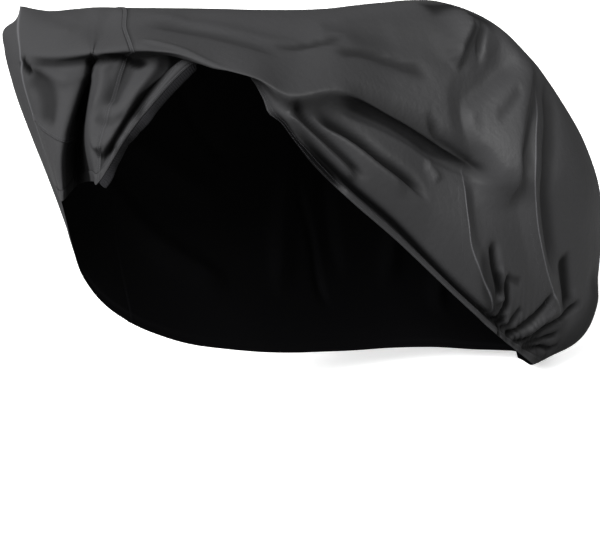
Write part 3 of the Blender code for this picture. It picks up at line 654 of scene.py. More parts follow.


# %% [markdown]
# ## From the plain drape to the folded one
#
# Between its sections the plain drape overhangs along the shoulder, and folds pressed into an
# overhang would cross. So the shoulder is eased first: each point moves towards the middle of
# its two neighbours on the section's line, which straightens the line as tight cloth does. Then
# the folds are pressed, the cloth behind the pleat gets painted shade, and the creases are
# measured on the folded shape.

# %% Easing the shoulder
TOP_ROWS = FINE_ROWS["ridge"] + FINE_ROWS["roof"] + FINE_ROWS["lip"]
EASED_SECTIONS = (8.5, 9.5, 15.0, 16.0)
EASED_PASSES = 40
EASED_FROM = 6               # rows below the belly's level where the easing starts
EASED_IN, EASED_OUT = 12, 8  # rows over which it grows and fades


def eased_shoulder(shape):
    """The near side's overhang, eased into a soft shoulder by averaging along the sections."""
    first_row = RIDGE - TOP_ROWS - FINE_ROWS["tuck"] - EASED_FROM
    last_row = RIDGE - TOP_ROWS + FINE_ROWS["lip"]
    rows = np.arange(ROWS)
    weight = (smooth_step((rows - first_row) / EASED_IN)
              * smooth_step((last_row - rows) / EASED_OUT))[None]
    weight = (weight * section_fade(EASED_SECTIONS))[:, 1:-1, None]
    for _ in range(EASED_PASSES):
        middle = (shape[:, :-2] + shape[:, 2:]) / 2
        shape[:, 1:-1] += 0.5 * weight * (middle - shape[:, 1:-1])
    return shape


points = eased_shoulder(grid.copy()).reshape(-1, 3)
print("shoulder eased:", round(float(np.abs(points - grid.reshape(-1, 3)).max()), 3), "m at most")

# %% Pressing them all
SOFTENING = 40               # passes that even out the directions in which folds are pressed
hollow = np.zeros(len(points))
directions = softened(outward_normals(points), SOFTENING)
smooth_from_hem = lengths_along(points, 1)
for chosen, folds, view in ((numbers[curtain_end:, :RIDGE], NEAR_FOLDS, SIDE_VIEW),
                            (numbers[:curtain_end, :RIDGE], FRONT_FOLDS, FRONT_VIEW),
                            (numbers[:, RIDGE + 1:], FAR_FOLDS, SIDE_VIEW),
                            (numbers[:, RIDGE - TOP_ROWS:RIDGE], TOP_FOLDS, TOP_VIEW)):
    press_folds(points, directions, chosen, folds, view)
press_hem_folds(points, directions, smooth_from_hem)
press_gathers(points, directions, smooth_from_hem)
print("folds pressed, highest point", round(points[:, 2].max(), 4))

# %% The pleat's painted shade, and the creases
PLEAT_SECTIONS = (2.05, 2.25, 3.80, 3.95)     # where the cloth behind the pleat gets painted shade
BROW_FADE = 3                # rows below the brow over which that painted shade grows
below_brow = smooth_step((RIDGE - TOP_ROWS - 1 - np.arange(RIDGE)) / BROW_FADE)[None]
# painted shade on the cloth behind the pleat
paint_shade(numbers[:, :RIDGE], section_fade(PLEAT_SECTIONS) * below_brow)
crease_distance, crease_strength = store_creases()
print("vertices by a crease:", int((crease_strength > 0).sum()))

# %% To the frame's origin
HANG_POINT = np.array((0.95, 0.13, 1.106))   # the frame's origin, measured from the floor
points -= HANG_POINT
print("highest point in the frame", round(points[:, 2].max(), 4))

# %% [markdown]
# ## A turned hem and lapped seams
#
# A hem is the same cloth folded back on itself, so its band stands a cloth's thickness proud
# and ends in a small step. A smooth grid can't show that step. The cure is to slide the rows
# next to the edge along the cloth until they lie at exact distances from it, and then to lift
# those on the band. The same is done with the columns beside the cross seam. At the foot of a
# step shade falls, so those rows and columns get painted shade, as folds do.

# %% Sliding rows to exact distances
ROOM_USED = 0.7              # the most of the room that the exact rows may take


def slide(lines, distances, reach):
    """Move each line's first points to exact distances along it and space out the next ones."""
    steps = np.linalg.norm(np.diff(lines, axis=1), axis=2)
    places = np.concatenate([np.zeros((len(lines), 1)), np.cumsum(steps, axis=1)], axis=1)
    moved = lines.copy()
    for number, line in enumerate(lines):
        room = places[number, reach]
        exact = np.array(distances) * min(1.0, ROOM_USED * room / distances[-1])
        rest = np.linspace(exact[-1], room, reach - len(exact) + 1)[1:-1]
        moved[number, 1:reach] = curve_through(places[number], line,
                                               np.concatenate([exact, rest]))
    return moved


# %% The hems' bands
STEP_WIDTH = 0.0012
HEM_ROWS = (STEP_WIDTH, HEM_WIDTH / 2, HEM_WIDTH - STEP_WIDTH, HEM_WIDTH)
HEM_REACH = 12               # rows beside a hem that make room for its band
shape = points[numbers]
shape = slide(shape, HEM_ROWS, HEM_REACH)
shape = slide(shape[:, ::-1], HEM_ROWS, HEM_REACH)[:, ::-1]
print("rows beside each hem:", HEM_ROWS)

# %% The cross seam's lap
SEAM_SECTION = 5             # the cross seam follows this section on both sides
LAP_WIDTH = 0.012
LAP_COLUMNS = (STEP_WIDTH, LAP_WIDTH - STEP_WIDTH, LAP_WIDTH)
LAP_REACH = 7                # columns beside the seam that make room for its lap
seam_column = section_column(SEAM_SECTION)
across = shape.transpose(1, 0, 2)
after = slide(across[:, seam_column:], LAP_COLUMNS, LAP_REACH)
before = slide(across[:, seam_column::-1], LAP_COLUMNS, LAP_REACH)[:, ::-1]
shape = np.concatenate([before[:, :-1], after], axis=1).transpose(1, 0, 2)
points[numbers] = shape
normals = outward_normals(points)
print("columns beside the seam:", LAP_COLUMNS)

# %% Painted shade at the foot of each step
SEAM_SHADE = 0.8
HEM_SHADE = 0.7
brow_row = FINE_ROWS["belly"] + FINE_ROWS["tuck"]     # the seam's painted shade starts here
# painted shade at the foot of the hems' and the cross seam's steps
for row in (len(HEM_ROWS), -1 - len(HEM_ROWS)):
    paint_shade(numbers[:, row], HEM_SHADE)
for column in (seam_column - len(LAP_COLUMNS), seam_column):
    paint_shade(numbers[column, brow_row:], SEAM_SHADE)
print("vertices in some shade:", int((hollow > 0).sum()))

# %% Flat places on the cloth
from_near_hem = lengths_along(points, 1)
from_front = lengths_along(points, 0)
cloth_flat = np.zeros((len(points), 2))
cloth_flat[numbers, 0] = from_front
cloth_flat[numbers, 1] = from_near_hem
print("cloth from hem to hem:", round(from_near_hem[:, -1].max(), 2), "m at most")

# %% [markdown]
# ## One sheet for each piece of cloth
#
# Each piece is a closed body: an outer face, an inner face a millimetre behind it and a rim
# along every open edge. The two faces get different materials, because the outside of this
# cloth is a dyed weave and the inside a dull waterproof coating. The coating is coloured far
# darker than the weave: partly its own colour, partly painted shade for the cover's dark inside.

# %% Faces and rims
def faces_of(block):
    """The faces of a block of the grid, as rows of four vertex numbers."""
    return np.stack([corner.ravel() for corner in face_corners(block)], axis=1)


def rim_of(faces, count):
    """Faces that join the open edges of a layer to those of a second one, count numbers on."""
    edges = {(face[k], face[(k + 1) % 4]) for face in faces.tolist() for k in range(4)}
    first, second = np.array([edge for edge in sorted(edges) if edge[::-1] not in edges]).T
    return np.stack([second, first, first + count, second + count], axis=1)


def new_object(name, data):
    """An object for a mesh, lamp or camera, placed in the scene."""
    thing = bpy.data.objects.new(name, data)
    bpy.context.scene.collection.objects.link(thing)
    return thing


# %% Sheets
OUTER, INNER = 0, 1
SHEET_THICKNESS = 0.0012


def store_on(mesh, used):
    """Store the flat coordinates, the creases and the painted shade of the grid's vertices used.
    """
    loops = np.empty(len(mesh.loops), np.int32)
    mesh.loops.foreach_get("vertex_index", loops)
    flat = mesh.uv_layers.new(name="cloth")
    flat.uv.foreach_set("vector", cloth_flat[used][loops].ravel())
    for label, values in (("crease_distance", crease_distance), ("hollow", hollow),
                          ("crease_strength", crease_strength)):
        stored = mesh.attributes.new(label, "FLOAT", "POINT")
        stored.data.foreach_set("value", values[used].astype(np.float32))


def sheet_object(name, quads, lift):
    """A closed thin sheet on the grid, lifted off it by a height at each vertex."""
    used, faces = np.unique(quads, return_inverse=True)
    faces = faces.reshape(-1, 4)
    outer = points[used] + normals[used] * lift[used][:, None]
    inner = outer - normals[used] * SHEET_THICKNESS
    count = len(used)
    turned = faces[:, [0, 3, 2, 1]] + count     # turned over, yet split along the same diagonal
    every = np.concatenate([faces, turned, rim_of(faces, count)])
    mesh = bpy.data.meshes.new(name)
    mesh.from_pydata(np.concatenate([outer, inner]).tolist(), [], every.tolist())
    for finish in ("outer", "inner"):
        mesh.materials.append(materials[finish])
    side = np.full(len(every), OUTER)
    side[len(faces):2 * len(faces)] = INNER
    mesh.polygons.foreach_set("material_index", side)
    store_on(mesh, np.concatenate([used, used]))
    mesh.shade_smooth()
    mesh.validate()
    return new_object(name, mesh)


# %% [markdown]
# ## The materials
#
# The cloth is a plain weave with a coating: nearly black, with a low broad sheen that shows the
# folds. Four shader groups do the shared work. One draws the threads from the sheet's own flat
# coordinates in metres, one lays slow patches and fine wrinkles over everything, so that no two
# square centimetres match, one draws the fine creases, and one turns the stored painted shade
# into dark, duller hollows and paints a highlight on the creases. The shader itself stays in the
# material, which only takes values from the groups.

# %% Helpers for node groups
def new_group(name, kind, inputs, outputs):
    """A node group with named sockets; returns it with its input and output nodes."""
    group = bpy.data.node_groups.new(name, kind)
    for label, socket, value in inputs:
        made = group.interface.new_socket(label, in_out="INPUT", socket_type=socket)
        if value is not None:
            made.default_value = value
    for label, socket in outputs:
        group.interface.new_socket(label, in_out="OUTPUT", socket_type=socket)
    return group, group.nodes.new("NodeGroupInput"), group.nodes.new("NodeGroupOutput")


def new_node(tree, kind, **settings):
    """A new node in a tree, with some of its properties set."""
    node = tree.nodes.new(kind)
    for label, value in settings.items():
        setattr(node, label, value)
    return node


def link_all(tree, *pairs):
    """Link each output to the input beside it."""
    for output, target in pairs:
        tree.links.new(output, target)


def math_node(group, operation, first, second=None, third=None):
    """A Math node fed by sockets or numbers; returns its output."""
    node = new_node(group, "ShaderNodeMath", operation=operation)
    for slot, value in zip(node.inputs, (first, second, third)):
        if isinstance(value, (int, float)):
            slot.default_value = value
        elif value is not None:
            group.links.new(value, slot)
    return node.outputs[0]


# %% A shader group for the threads
def woven_threads():
    """Over-and-under threads from flat coordinates in metres: their height, 0 to 1."""
    group, start, end = new_group(
        "woven_threads", "ShaderNodeTree",
        [("Flat", "NodeSocketVector", None), ("Pitch", "NodeSocketFloat", 0.0006)],
        [("Height", "NodeSocketFloat")])
    split = new_node(group, "ShaderNodeSeparateXYZ")
    group.links.new(start.outputs["Flat"], split.inputs[0])
    waves = []
    for axis in ("X", "Y"):
        turns = math_node(group, "DIVIDE", split.outputs[axis], start.outputs["Pitch"])
        waves.append(math_node(group, "SINE", math_node(group, "MULTIPLY", turns, math.pi)))
    over = math_node(group, "MULTIPLY", waves[0], waves[1])
    group.links.new(math_node(group, "MULTIPLY_ADD", over, 0.5, 0.5), end.inputs["Height"])
    return group


THREADS = woven_threads()
print("shader group:", THREADS.name)


# %% A shader group for pressed creases
def pressed_crease():
    """A narrow crest on a crease, from the distance to it in metres and its strength."""
    group, start, end = new_group(
        "pressed_crease", "ShaderNodeTree",
        [("Distance", "NodeSocketFloat", 1.0), ("Strength", "NodeSocketFloat", 0.0),
         ("Width", "NodeSocketFloat", 0.003)],
        [("Crest", "NodeSocketFloat")])
    share = math_node(group, "DIVIDE", start.outputs["Distance"], start.outputs["Width"])
    square = math_node(group, "MULTIPLY", share, share)
    bell = math_node(group, "EXPONENT", math_node(group, "MULTIPLY", square, -1.0))
    crest = math_node(group, "MULTIPLY", bell, start.outputs["Strength"])
    group.links.new(crest, end.inputs["Crest"])
    return group


CREASES = pressed_crease()
print("shader group:", CREASES.name)


# %% A shader group for patches and wrinkles
def cloth_wear():
    """Slow patches and fine wrinkles over the cloth, from object coordinates in metres."""
    group, start, end = new_group(
        "cloth_wear", "ShaderNodeTree",
        [("Place", "NodeSocketVector", None), ("Patch Size", "NodeSocketFloat", 0.12),
         ("Wrinkle Size", "NodeSocketFloat", 0.02)],
        [("Patch", "NodeSocketFloat"), ("Wrinkle", "NodeSocketFloat")])
    for label, detail in (("Patch", 3.0), ("Wrinkle", 4.0)):
        noise = new_node(group, "ShaderNodeTexNoise")
        noise.inputs["Detail"].default_value = detail
        scale = math_node(group, "DIVIDE", 1.0, start.outputs[label + " Size"])
        link_all(group, (start.outputs["Place"], noise.inputs["Vector"]),
                 (scale, noise.inputs["Scale"]), (noise.outputs["Fac"], end.inputs[label]))
    return group


WEAR = cloth_wear()
print("shader group:", WEAR.name)


# %% A shader group for the painted shade in the hollows and the painted highlight on creases
# colour of the painted highlight on the creases' crests
CREASE_HIGHLIGHT_COLOUR = (0.09, 0.09, 0.095, 1.0)
# colour of the painted shade in the hollows
HOLLOW_SHADE_COLOUR = (0.0015, 0.0015, 0.0016, 1.0)


def hollow_shade():
    """Painted shade makes a fold's hollow dark, and also rougher; a painted highlight makes a
    crest lighter.
    """
    group, start, end = new_group(
        "hollow_shade", "ShaderNodeTree",
        [("Cloth", "NodeSocketColor", (0.03, 0.03, 0.03, 1.0)),
         ("Hollow", "NodeSocketColor", HOLLOW_SHADE_COLOUR),
         ("Painted Highlight", "NodeSocketColor", CREASE_HIGHLIGHT_COLOUR),
         ("Depth", "NodeSocketFloat", 0.0), ("Crest", "NodeSocketFloat", 0.0)],
        [("Color", "NodeSocketColor"), ("Dull", "NodeSocketFloat")])
    last = start.outputs["Cloth"]
    for tone, amount in (("Hollow", "Depth"), ("Painted Highlight", "Crest")):
        mix = new_node(group, "ShaderNodeMix", data_type="RGBA")
        link_all(group, (last, mix.inputs["A"]), (start.outputs[tone], mix.inputs["B"]),
                 (start.outputs[amount], mix.inputs["Factor"]))
        last = mix.outputs["Result"]
    link_all(group, (last, end.inputs["Color"]), (start.outputs["Depth"], end.inputs["Dull"]))
    return group


SHADE = hollow_shade()
print("shader group:", SHADE.name)


# %% A plain material
def base_material(name, colour, roughness):
    """A Principled material with a plain colour and roughness; returns it and its shader."""
    material = bpy.data.materials.new(name)
    material.use_nodes = True
    shader = material.node_tree.nodes["Principled BSDF"]
    shader.inputs["Base Color"].default_value = colour
    shader.inputs["Roughness"].default_value = roughness
    material.diffuse_color = colour
    return material, shader


# %% The cloth's material
HOLLOW_DULLNESS = 0.45       # how much rougher the darkest hollow is
CREASE_BUMP = 0.0015


def stored_value(tree, label):
    """The output of a node that reads a value stored on the mesh."""
    return new_node(tree, "ShaderNodeAttribute", attribute_name=label).outputs["Fac"]


def bumps_on(tree, heights):
    """Bump nodes in a chain, one for each pair of a height and its size in metres."""
    normal = None
    for height, size in heights:
        bump = new_node(tree, "ShaderNodeBump")
        bump.inputs["Strength"].default_value = 1.0
        bump.inputs["Distance"].default_value = size
        tree.links.new(height, bump.inputs["Height"])
        if normal is not None:
            tree.links.new(normal, bump.inputs["Normal"])
        normal = bump.outputs["Normal"]
    return normal


def cloth_material(name, colour, roughness, spread, thread_bump, wrinkle_bump):
    """Woven cloth: the roughness varies with the patches, and the groups feed the bump."""
    material, shader = base_material(name, colour, roughness)
    tree = material.node_tree
    threads, wear, creases, shade = (new_node(tree, "ShaderNodeGroup", node_tree=group)
                                     for group in (THREADS, WEAR, CREASES, SHADE))
    flat = new_node(tree, "ShaderNodeUVMap", uv_map="cloth")
    where = new_node(tree, "ShaderNodeTexCoord")
    shade.inputs["Cloth"].default_value = colour
    patchy = math_node(tree, "MULTIPLY_ADD", wear.outputs["Patch"], spread,
                       roughness - spread / 2)
    dull = math_node(tree, "MULTIPLY_ADD", shade.outputs["Dull"], HOLLOW_DULLNESS, patchy)
    normal = bumps_on(tree, ((wear.outputs["Wrinkle"], wrinkle_bump),
                             (creases.outputs["Crest"], CREASE_BUMP),
                             (threads.outputs["Height"], thread_bump)))
    # Base Color carries the painted shade in the hollows and the painted highlight on the creases.
    link_all(tree, (flat.outputs["UV"], threads.inputs["Flat"]),
             (where.outputs["Object"], wear.inputs["Place"]),
             (stored_value(tree, "crease_distance"), creases.inputs["Distance"]),
             (stored_value(tree, "crease_strength"), creases.inputs["Strength"]),
             (stored_value(tree, "hollow"), shade.inputs["Depth"]),
             (creases.outputs["Crest"], shade.inputs["Crest"]),
             (shade.outputs["Color"], shader.inputs["Base Color"]),
             (dull, shader.inputs["Roughness"]), (normal, shader.inputs["Normal"]))
    return material


# %% The materials themselves
materials = {
    "outer": cloth_material("coated_weave", (0.026, 0.026, 0.027, 1.0), roughness=0.48,
                            spread=0.12, thread_bump=0.00002, wrinkle_bump=0.0012),
    # the inside's near-black is partly the coating's colour and partly painted shade
    "inner": base_material("inner_coating_and_shade", (0.0015, 0.0015, 0.0017, 1.0), roughness=0.9)[0],
    "elastic": base_material("ribbed_elastic", (0.010, 0.010, 0.011, 1.0), roughness=0.7)[0],
    "thread": base_material("sewing_thread", (0.075, 0.075, 0.08, 1.0), roughness=0.5)[0],
}
SPECULAR_LEVELS = {"outer": 0.28, "inner": 0.12, "elastic": 0.2, "thread": 0.3}
for name, level in SPECULAR_LEVELS.items():
    shader = materials[name].node_tree.nodes["Principled BSDF"]
    shader.inputs["Specular IOR Level"].default_value = level
print("materials:", sorted(materials))

# %% [markdown]
# ## Cutting the three pieces of cloth
#
# The grid is shared, so a piece is just a set of its faces. The main cloth laps over the front
# cloth at the cross seam, and the front cloth over the lower front piece. At the cross seam the
# two share two columns of faces, at the front seam one row, and the piece on top is lifted there
# by a cloth's thickness.

# %% The main cloth
LAP_LIFT = 0.0014
LAP_START = seam_column - len(LAP_COLUMNS) + 1    # the main cloth starts here, with its lap


def hem_lift():
    """A height for each vertex that lifts the bands of both hems by a cloth's thickness."""
    lift = np.zeros(len(points))
    lift[numbers[:, :len(HEM_ROWS)]] = LAP_LIFT
    lift[numbers[:, -len(HEM_ROWS):]] = LAP_LIFT
    return lift


main_lift = hem_lift()
main_lift[numbers[LAP_START:seam_column + 1]] += LAP_LIFT
main_cloth = sheet_object("main_cloth_drape", faces_of(numbers[LAP_START:]), main_lift)
print("main cloth:", len(main_cloth.data.polygons), "faces")

# %% The front cloth
LOWER_FRONT_SECTION = 3      # the lower front piece ends a column of the solids before this one
SOLID_COLUMNS = 3            # columns of the solids from one of these sections to the next


def column_before(section):
    """The grid's column that lies one column of the solids before a section."""
    return section_column(section) - FINE_COLUMNS[section - 1] // SOLID_COLUMNS


front_seam_row = FINE_ROWS["belly"] - 1       # the front cloth's lower edge there
LAP_ROWS = 3                 # rows of the front cloth that are lifted to clear the lower piece
lower_columns = numbers[:column_before(LOWER_FRONT_SECTION) + 1]
front_lift = hem_lift()
front_lift[lower_columns[:, front_seam_row:front_seam_row + LAP_ROWS]] = LAP_LIFT
front_lift[lower_columns[:, :front_seam_row]] = 0.0
cut_away = set(map(tuple, faces_of(lower_columns[:, :front_seam_row + 1]).tolist()))
front_faces = [face for face in faces_of(numbers[:seam_column + 1]).tolist()
               if tuple(face) not in cut_away]
front_cloth = sheet_object("front_cloth_drape", np.array(front_faces), front_lift)
print("front cloth:", len(front_cloth.data.polygons), "faces")

# %% The lower front piece, which ends a row further up, under the lap
lower_front = sheet_object("lower_front_drape",
                           faces_of(lower_columns[:, :front_seam_row + 2]), hem_lift())
print("lower front piece:", len(lower_front.data.polygons), "faces")

# %% [markdown]
# ## Stitches and ribs: one tree that repeats a bead along a path
#
# Stitches and the ribs of elastic are the same job: a small rounded bead, repeated at a fixed
# pitch, turned along its path and standing on the cloth. That is what Geometry Nodes does well.
# The path is a mesh of edges whose points carry the cloth's normal, so every bead knows which
# way is up. Realize Instances makes the copies real, and the result is kept as a plain mesh.

# %% The tree of beads
def bead_tree():
    """Beads of a given size at a pitch along the paths of the mesh that comes in."""
    tree, start, end = new_group(
        "beads_along_path", "GeometryNodeTree",
        [("Path", "NodeSocketGeometry", None), ("Pitch", "NodeSocketFloat", 0.005),
         ("Bead Size", "NodeSocketVector", (0.002, 0.0004, 0.0004)),
         ("Detail", "NodeSocketInt", 1), ("Finish", "NodeSocketMaterial", None)],
        [("Beads", "NodeSocketGeometry")])
    curve = new_node(tree, "GeometryNodeMeshToCurve")
    even = new_node(tree, "GeometryNodeResampleCurve", mode="LENGTH")
    tangent = new_node(tree, "GeometryNodeInputTangent")
    upward = new_node(tree, "GeometryNodeInputNamedAttribute", data_type="FLOAT_VECTOR")
    upward.inputs["Name"].default_value = "cloth_normal"
    along = new_node(tree, "FunctionNodeAlignRotationToVector", axis="X")
    facing = new_node(tree, "FunctionNodeAlignRotationToVector", axis="Z", pivot_axis="X")
    bead = new_node(tree, "GeometryNodeMeshIcoSphere")
    bead.inputs["Radius"].default_value = 1.0
    copies = new_node(tree, "GeometryNodeInstanceOnPoints")
    real = new_node(tree, "GeometryNodeRealizeInstances")
    smooth = new_node(tree, "GeometryNodeSetShadeSmooth")
    finish = new_node(tree, "GeometryNodeSetMaterial")
    for source, output, target, socket in (
            (start, "Path", curve, "Mesh"), (curve, "Curve", even, "Curve"),
            (start, "Pitch", even, "Length"), (tangent, "Tangent", along, "Vector"),
            (along, "Rotation", facing, "Rotation"), (upward, "Attribute", facing, "Vector"),
            (start, "Detail", bead, "Subdivisions"), (even, "Curve", copies, "Points"),
            (bead, "Mesh", copies, "Instance"), (facing, "Rotation", copies, "Rotation"),
            (start, "Bead Size", copies, "Scale"), (copies, "Instances", real, "Geometry"),
            (real, "Geometry", smooth, "Geometry"), (smooth, "Geometry", finish, "Geometry"),
            (start, "Finish", finish, "Material"), (finish, "Geometry", end, "Beads")):
        tree.links.new(source.outputs[output], target.inputs[socket])
    return tree


BEADS = bead_tree()
print("geometry group:", BEADS.name)


# %% Beads along paths
def beads_on(name, paths, pitch, size, detail, material):
    """Runs the tree on paths, each a pair of points and normals, and keeps a plain mesh."""
    places, facing, edges = [], [], []
    for line, up in paths:
        edges += [(len(places) + k, len(places) + k + 1) for k in range(len(line) - 1)]
        places += [tuple(place) for place in line]
        facing += [tuple(normal) for normal in up]
    mesh = bpy.data.meshes.new(name + "_path")
    mesh.from_pydata(places, edges, [])
    attribute = mesh.attributes.new("cloth_normal", "FLOAT_VECTOR", "POINT")
    attribute.data.foreach_set("vector", np.array(facing, np.float32).ravel())
    path = new_object(name + "_path", mesh)
    modifier = path.modifiers.new("beads", "NODES")
    modifier.node_group = BEADS
    sockets = {item.name: item.identifier for item in BEADS.interface.items_tree
               if item.item_type == "SOCKET" and item.in_out == "INPUT"}
    for label, value in (("Pitch", pitch), ("Bead Size", size), ("Detail", detail),
                         ("Finish", material)):
        modifier[sockets[label]] = value
    depsgraph = bpy.context.evaluated_depsgraph_get()
    plain = bpy.data.meshes.new_from_object(path.evaluated_get(depsgraph))
    plain.name = name
    bpy.data.objects.remove(path, do_unlink=True)
    return new_object(name, plain)


# %% Lines of stitches
STITCH_PITCH = 0.005
STITCH_SIZE = (0.0017, 0.0004, 0.00035)
STITCH_LIFT = LAP_LIFT + 0.0001      # just clear of the lapped cloth
STITCH_DETAIL = 1


def line_beside(lines, places, distance):
    """Points at a distance along each line of the grid, lifted, with their normals."""
    here, up = [], []
    for line, place in zip(lines, places):
        row = [np.interp(distance, place, points[line][:, axis]) for axis in range(3)]
        normal = [np.interp(distance, place, normals[line][:, axis]) for axis in range(3)]
        here.append(np.array(row) + STITCH_LIFT * np.array(normal))
        up.append(normal)
    return np.array(here), np.array(up)


def stitches(name, seams):
    """Stitches on the lines at some distances from each seam, as one plain mesh."""
    paths = [line_beside(lines, places, distance)
             for lines, places, distances in seams for distance in distances]
    return beads_on(name, paths, STITCH_PITCH, STITCH_SIZE, STITCH_DETAIL, materials["thread"])


# %% Stitches along the hems
HEM_STITCHES = (0.005, 0.021)
PAST_SEAM = 6                # the near hem's stitches start this many columns past the seam
from_far_hem = from_near_hem[:, -1:] - from_near_hem[:, ::-1]
near_start = seam_column + PAST_SEAM
hem_stitches = stitches("hem_stitches", (
    (numbers[near_start:, :RIDGE], from_near_hem[near_start:, :RIDGE], HEM_STITCHES),
    (numbers[:, :RIDGE:-1], from_far_hem[:, :RIDGE], HEM_STITCHES)))
print("hem stitches:", len(hem_stitches.data.polygons), "faces")

# %% Stitches along the seams
SEAM_STITCHES = (-0.0025, -0.0095)
FRONT_SEAM_STITCHES = (0.003, 0.009)
HEM_CLEAR = 8                # rows at each hem that the cross seam's stitches leave free
FRONT_SEAM_REACH = 13        # rows above the front seam in which its stitches are placed
seam_rows = slice(HEM_CLEAR, ROWS - HEM_CLEAR)
from_seam = (from_front - from_front[seam_column]).T[seam_rows]
front_rows = slice(front_seam_row, front_seam_row + FRONT_SEAM_REACH)
above_seam = from_near_hem[:len(lower_columns), front_rows]
seam_stitches = stitches("seam_stitches", (
    (numbers.T[seam_rows], from_seam, SEAM_STITCHES),
    (lower_columns[:, front_rows], above_seam - above_seam[:, :1], FRONT_SEAM_STITCHES)))
print("seam stitches:", len(seam_stitches.data.polygons), "faces")

# %% [markdown]
# ## The elastic in the front hem
#
# A flat rubber band is covered with ribbed knitting and sewn to the edge of the hem, and it
# draws the hem in. Here it is a shallow strip that continues the sheet past its edge, so it is
# set out from the edge's own points, normals and direction, and the ribs are beads across it.

# %% The elastic strip
ELASTIC_END_SECTION = 8      # the elastic ends a column of the solids before this one
ELASTIC_WIDTH = 0.022
ELASTIC_THICKNESS = 0.0022
ELASTIC_SWELL = 0.0008       # how far the middle of the band stands out
STRIP_ACROSS = (0.0, 0.15, 0.5, 0.85, 1.0)    # shares of its width
STRIP_SWELL = (0.0, 0.8, 1.0, 0.8, 0.0)       # and shares of the swell there
edge = numbers[seam_column:column_before(ELASTIC_END_SECTION), 0]
line, facing = points[edge], normals[edge]
tangent = unit(np.gradient(line, axis=0))
beyond = unit(np.cross(tangent, facing))
outer = np.stack([line + beyond * ELASTIC_WIDTH * share + facing * (ELASTIC_SWELL * swell)
                  for share, swell in zip(STRIP_ACROSS, STRIP_SWELL)], axis=1)
inner = np.stack([line + beyond * ELASTIC_WIDTH * share - facing * ELASTIC_THICKNESS
                  for share in STRIP_ACROSS], axis=1)
count = len(edge) * len(STRIP_ACROSS)
strip_faces = faces_of(np.arange(count).reshape(len(edge), -1))[:, ::-1]
strip_mesh = bpy.data.meshes.new("elastic_strip")
strip_mesh.from_pydata(
    np.concatenate([outer.reshape(-1, 3), inner.reshape(-1, 3)]).tolist(), [],
    np.concatenate([strip_faces, strip_faces[:, ::-1] + count,
                    rim_of(strip_faces, count)]).tolist())
strip_mesh.materials.append(materials["elastic"])
strip_mesh.shade_smooth()
elastic_strip = new_object("elastic_strip", strip_mesh)
print("elastic strip:", len(strip_mesh.polygons), "faces")

# %% Its ribs
RIB_PITCH = 0.006
RIB_SIZE = (0.0023, ELASTIC_WIDTH * 0.48, 0.0016)
RIB_LIFT = 0.0006
RIB_DETAIL = 2
rib_line = line + beyond * ELASTIC_WIDTH / 2 + facing * RIB_LIFT
elastic_ribs = beads_on("elastic_ribs", [(rib_line, facing)], RIB_PITCH, RIB_SIZE, RIB_DETAIL,
                        materials["elastic"])
print("elastic ribs:", len(elastic_ribs.data.polygons), "faces")

# %% [markdown]
# ## Hiding the replaced solids
#
# Nothing here moves, so every piece rides on the one body. The solids that the sheets and the
# elastic strip stand for are hidden, and the area of each sheet's outer face is printed.

# %% Riding, hiding the replaced solids, and the sheets' areas
replaced = {main_cloth: "main_cloth", front_cloth: "front_cloth",
            lower_front: "lower_front_cloth", elastic_strip: "elastic_band"}
for piece, node in replaced.items():
    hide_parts(node)
for piece in (main_cloth, front_cloth, lower_front, hem_stitches, seam_stitches):
    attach(piece, "root")
for piece in (elastic_strip, elastic_ribs):
    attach(piece, "root")


def one_side_area(thing):
    """Area of the sheet's outer face, in square metres."""
    return sum(face.area for face in thing.data.polygons if face.material_index == OUTER)


for piece in (main_cloth, front_cloth, lower_front):
    print(piece.name, "area", round(one_side_area(piece), 3))

# %% [markdown]
# ## Floor, light and camera
#
# A black thing is shown by what it reflects, so the light matters more than the colour. The
# surround is white to the eye, but lights the cloth mostly from one broad side, and the floor
# throws little light up, so that the folds keep their shade. A soft sun from the upper left
# models the folds, a panel on the right lifts their dark side a little, and a second sun from
# behind does the same for whoever looks at the far side.

# %% Floor
FLOOR_SIZE = 30.0
FLOOR_SEEN = (0.95, 0.95, 0.95, 1.0)
FLOOR_FELT = (0.16, 0.16, 0.16, 1.0)     # what the floor sends up on to the cloth
FLOOR_GLOW = 0.45                        # lifts the shadow on it, to the eye only
BLACK, WHITE = (0.0, 0.0, 0.0, 1.0), (1.0, 1.0, 1.0, 1.0)


def for_the_eye(tree, felt, seen):
    """A colour that the camera sees, and another one that the cloth is lit by."""
    ray = new_node(tree, "ShaderNodeLightPath")
    mix = new_node(tree, "ShaderNodeMix", data_type="RGBA")
    mix.inputs["A"].default_value = felt
    mix.inputs["B"].default_value = seen
    tree.links.new(ray.outputs["Is Camera Ray"], mix.inputs["Factor"])
    return mix.outputs["Result"]


def floor_finish():
    """Pale to look at, but with little light thrown up."""
    material, shader = base_material("pale_floor", FLOOR_SEEN, roughness=0.9)
    tree = material.node_tree
    for target, felt, seen in (("Base Color", FLOOR_FELT, FLOOR_SEEN),
                               ("Emission Color", BLACK, WHITE)):
        tree.links.new(for_the_eye(tree, felt, seen), shader.inputs[target])
    shader.inputs["Emission Strength"].default_value = FLOOR_GLOW
    return material


floor_mesh = bpy.data.meshes.new("floor")
half, level = FLOOR_SIZE / 2, -HANG_POINT[2]
floor_mesh.from_pydata([(-half, -half, level), (half, -half, level), (half, half, level),
                        (-half, half, level)], [], [(0, 1, 2, 3)])
floor = new_object("floor", floor_mesh)
floor_mesh.materials.append(floor_finish())
print("floor:", FLOOR_SIZE, "m wide, at", round(level, 3))

# %% Surround
SOFT_SIDE = (-0.75, -0.25, 0.62)     # direction the broad light comes from
SOFT_FROM = -0.35                    # cosine to that direction at which its light starts
DIM, BRIGHT = 0.08, 0.6

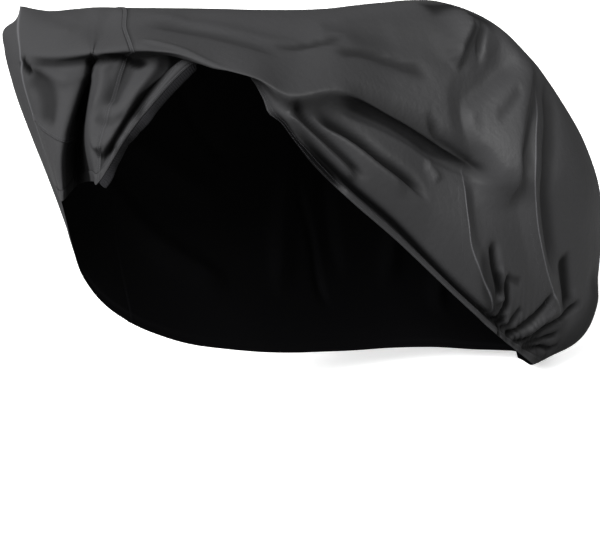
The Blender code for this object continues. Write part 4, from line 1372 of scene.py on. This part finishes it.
world = bpy.data.worlds.new("surround")
bpy.context.scene.world = world
world.use_nodes = True
tree = world.node_tree
background = tree.nodes["Background"]
background.inputs["Color"].default_value = WHITE
direction = new_node(tree, "ShaderNodeTexCoord")
toward = new_node(tree, "ShaderNodeVectorMath", operation="DOT_PRODUCT")
toward.inputs[1].default_value = Vector(SOFT_SIDE).normalized()
soft = new_node(tree, "ShaderNodeMapRange", interpolation_type="SMOOTHSTEP")
for socket, value in (("From Min", SOFT_FROM), ("From Max", 1.0), ("To Min", DIM),
                      ("To Max", BRIGHT)):
    soft.inputs[socket].default_value = value
ray = new_node(tree, "ShaderNodeLightPath")
white = new_node(tree, "ShaderNodeMix")
white.inputs["B"].default_value = 1.0
link_all(tree, (direction.outputs["Generated"], toward.inputs[0]),
         (toward.outputs["Value"], soft.inputs["Value"]),
         (soft.outputs["Result"], white.inputs["A"]),
         (ray.outputs["Is Camera Ray"], white.inputs["Factor"]),
         (white.outputs["Result"], background.inputs["Strength"]))
print("surround:", DIM, "to", BRIGHT)


# %% Lights
def soft_sun(name, where_from, energy, angle):
    """A sun whose light comes from a direction, soft by its angle in degrees."""
    sun = bpy.data.lights.new(name, "SUN")
    sun.energy = energy
    sun.angle = math.radians(angle)
    light = new_object(name, sun)
    light.rotation_euler = Vector(where_from).to_track_quat("Z", "Y").to_euler()
    light.visible_glossy = False
    return light


def soft_panel(name, place, target, width, height, power):
    """A rectangular light at a place, turned to face a target."""
    lamp = bpy.data.lights.new(name, "AREA")
    lamp.shape = "RECTANGLE"
    lamp.size = width
    lamp.size_y = height
    lamp.energy = power
    light = new_object(name, lamp)
    light.location = place
    light.rotation_euler = (Vector(target) - Vector(place)).to_track_quat("-Z", "Y").to_euler()
    return light


lights = (soft_sun("key", (-0.86, -0.20, 0.47), energy=8.2, angle=24),
          soft_sun("back", (0.35, 0.92, 0.16), energy=2.2, angle=40),
          soft_panel("fill_panel", place=(1.9, -3.3, 2.0), target=(0.3, 0.0, -0.3),
                     width=1.6, height=1.2, power=78))
print("lights:", [light.name for light in lights])

# %% Camera
CAMERA_PLACE = (-2.7772, -2.4003, 0.267)
CAMERA_PITCH = math.radians(14.8)
HEADING = (0.7305, 0.683)
LENS, SENSOR = 84, 36        # millimetres
camera_data = bpy.data.cameras.new("camera")
camera_data.lens = LENS
camera_data.sensor_width = SENSOR
camera = new_object("camera", camera_data)
forward = Vector((HEADING[0] * math.cos(CAMERA_PITCH), HEADING[1] * math.cos(CAMERA_PITCH),
                  -math.sin(CAMERA_PITCH)))
camera.location = CAMERA_PLACE
camera.rotation_euler = forward.to_track_quat("-Z", "Y").to_euler()
bpy.context.scene.camera = camera
bpy.context.scene.view_settings.view_transform = "Standard"
print("camera:", CAMERA_PLACE, "lens", LENS)
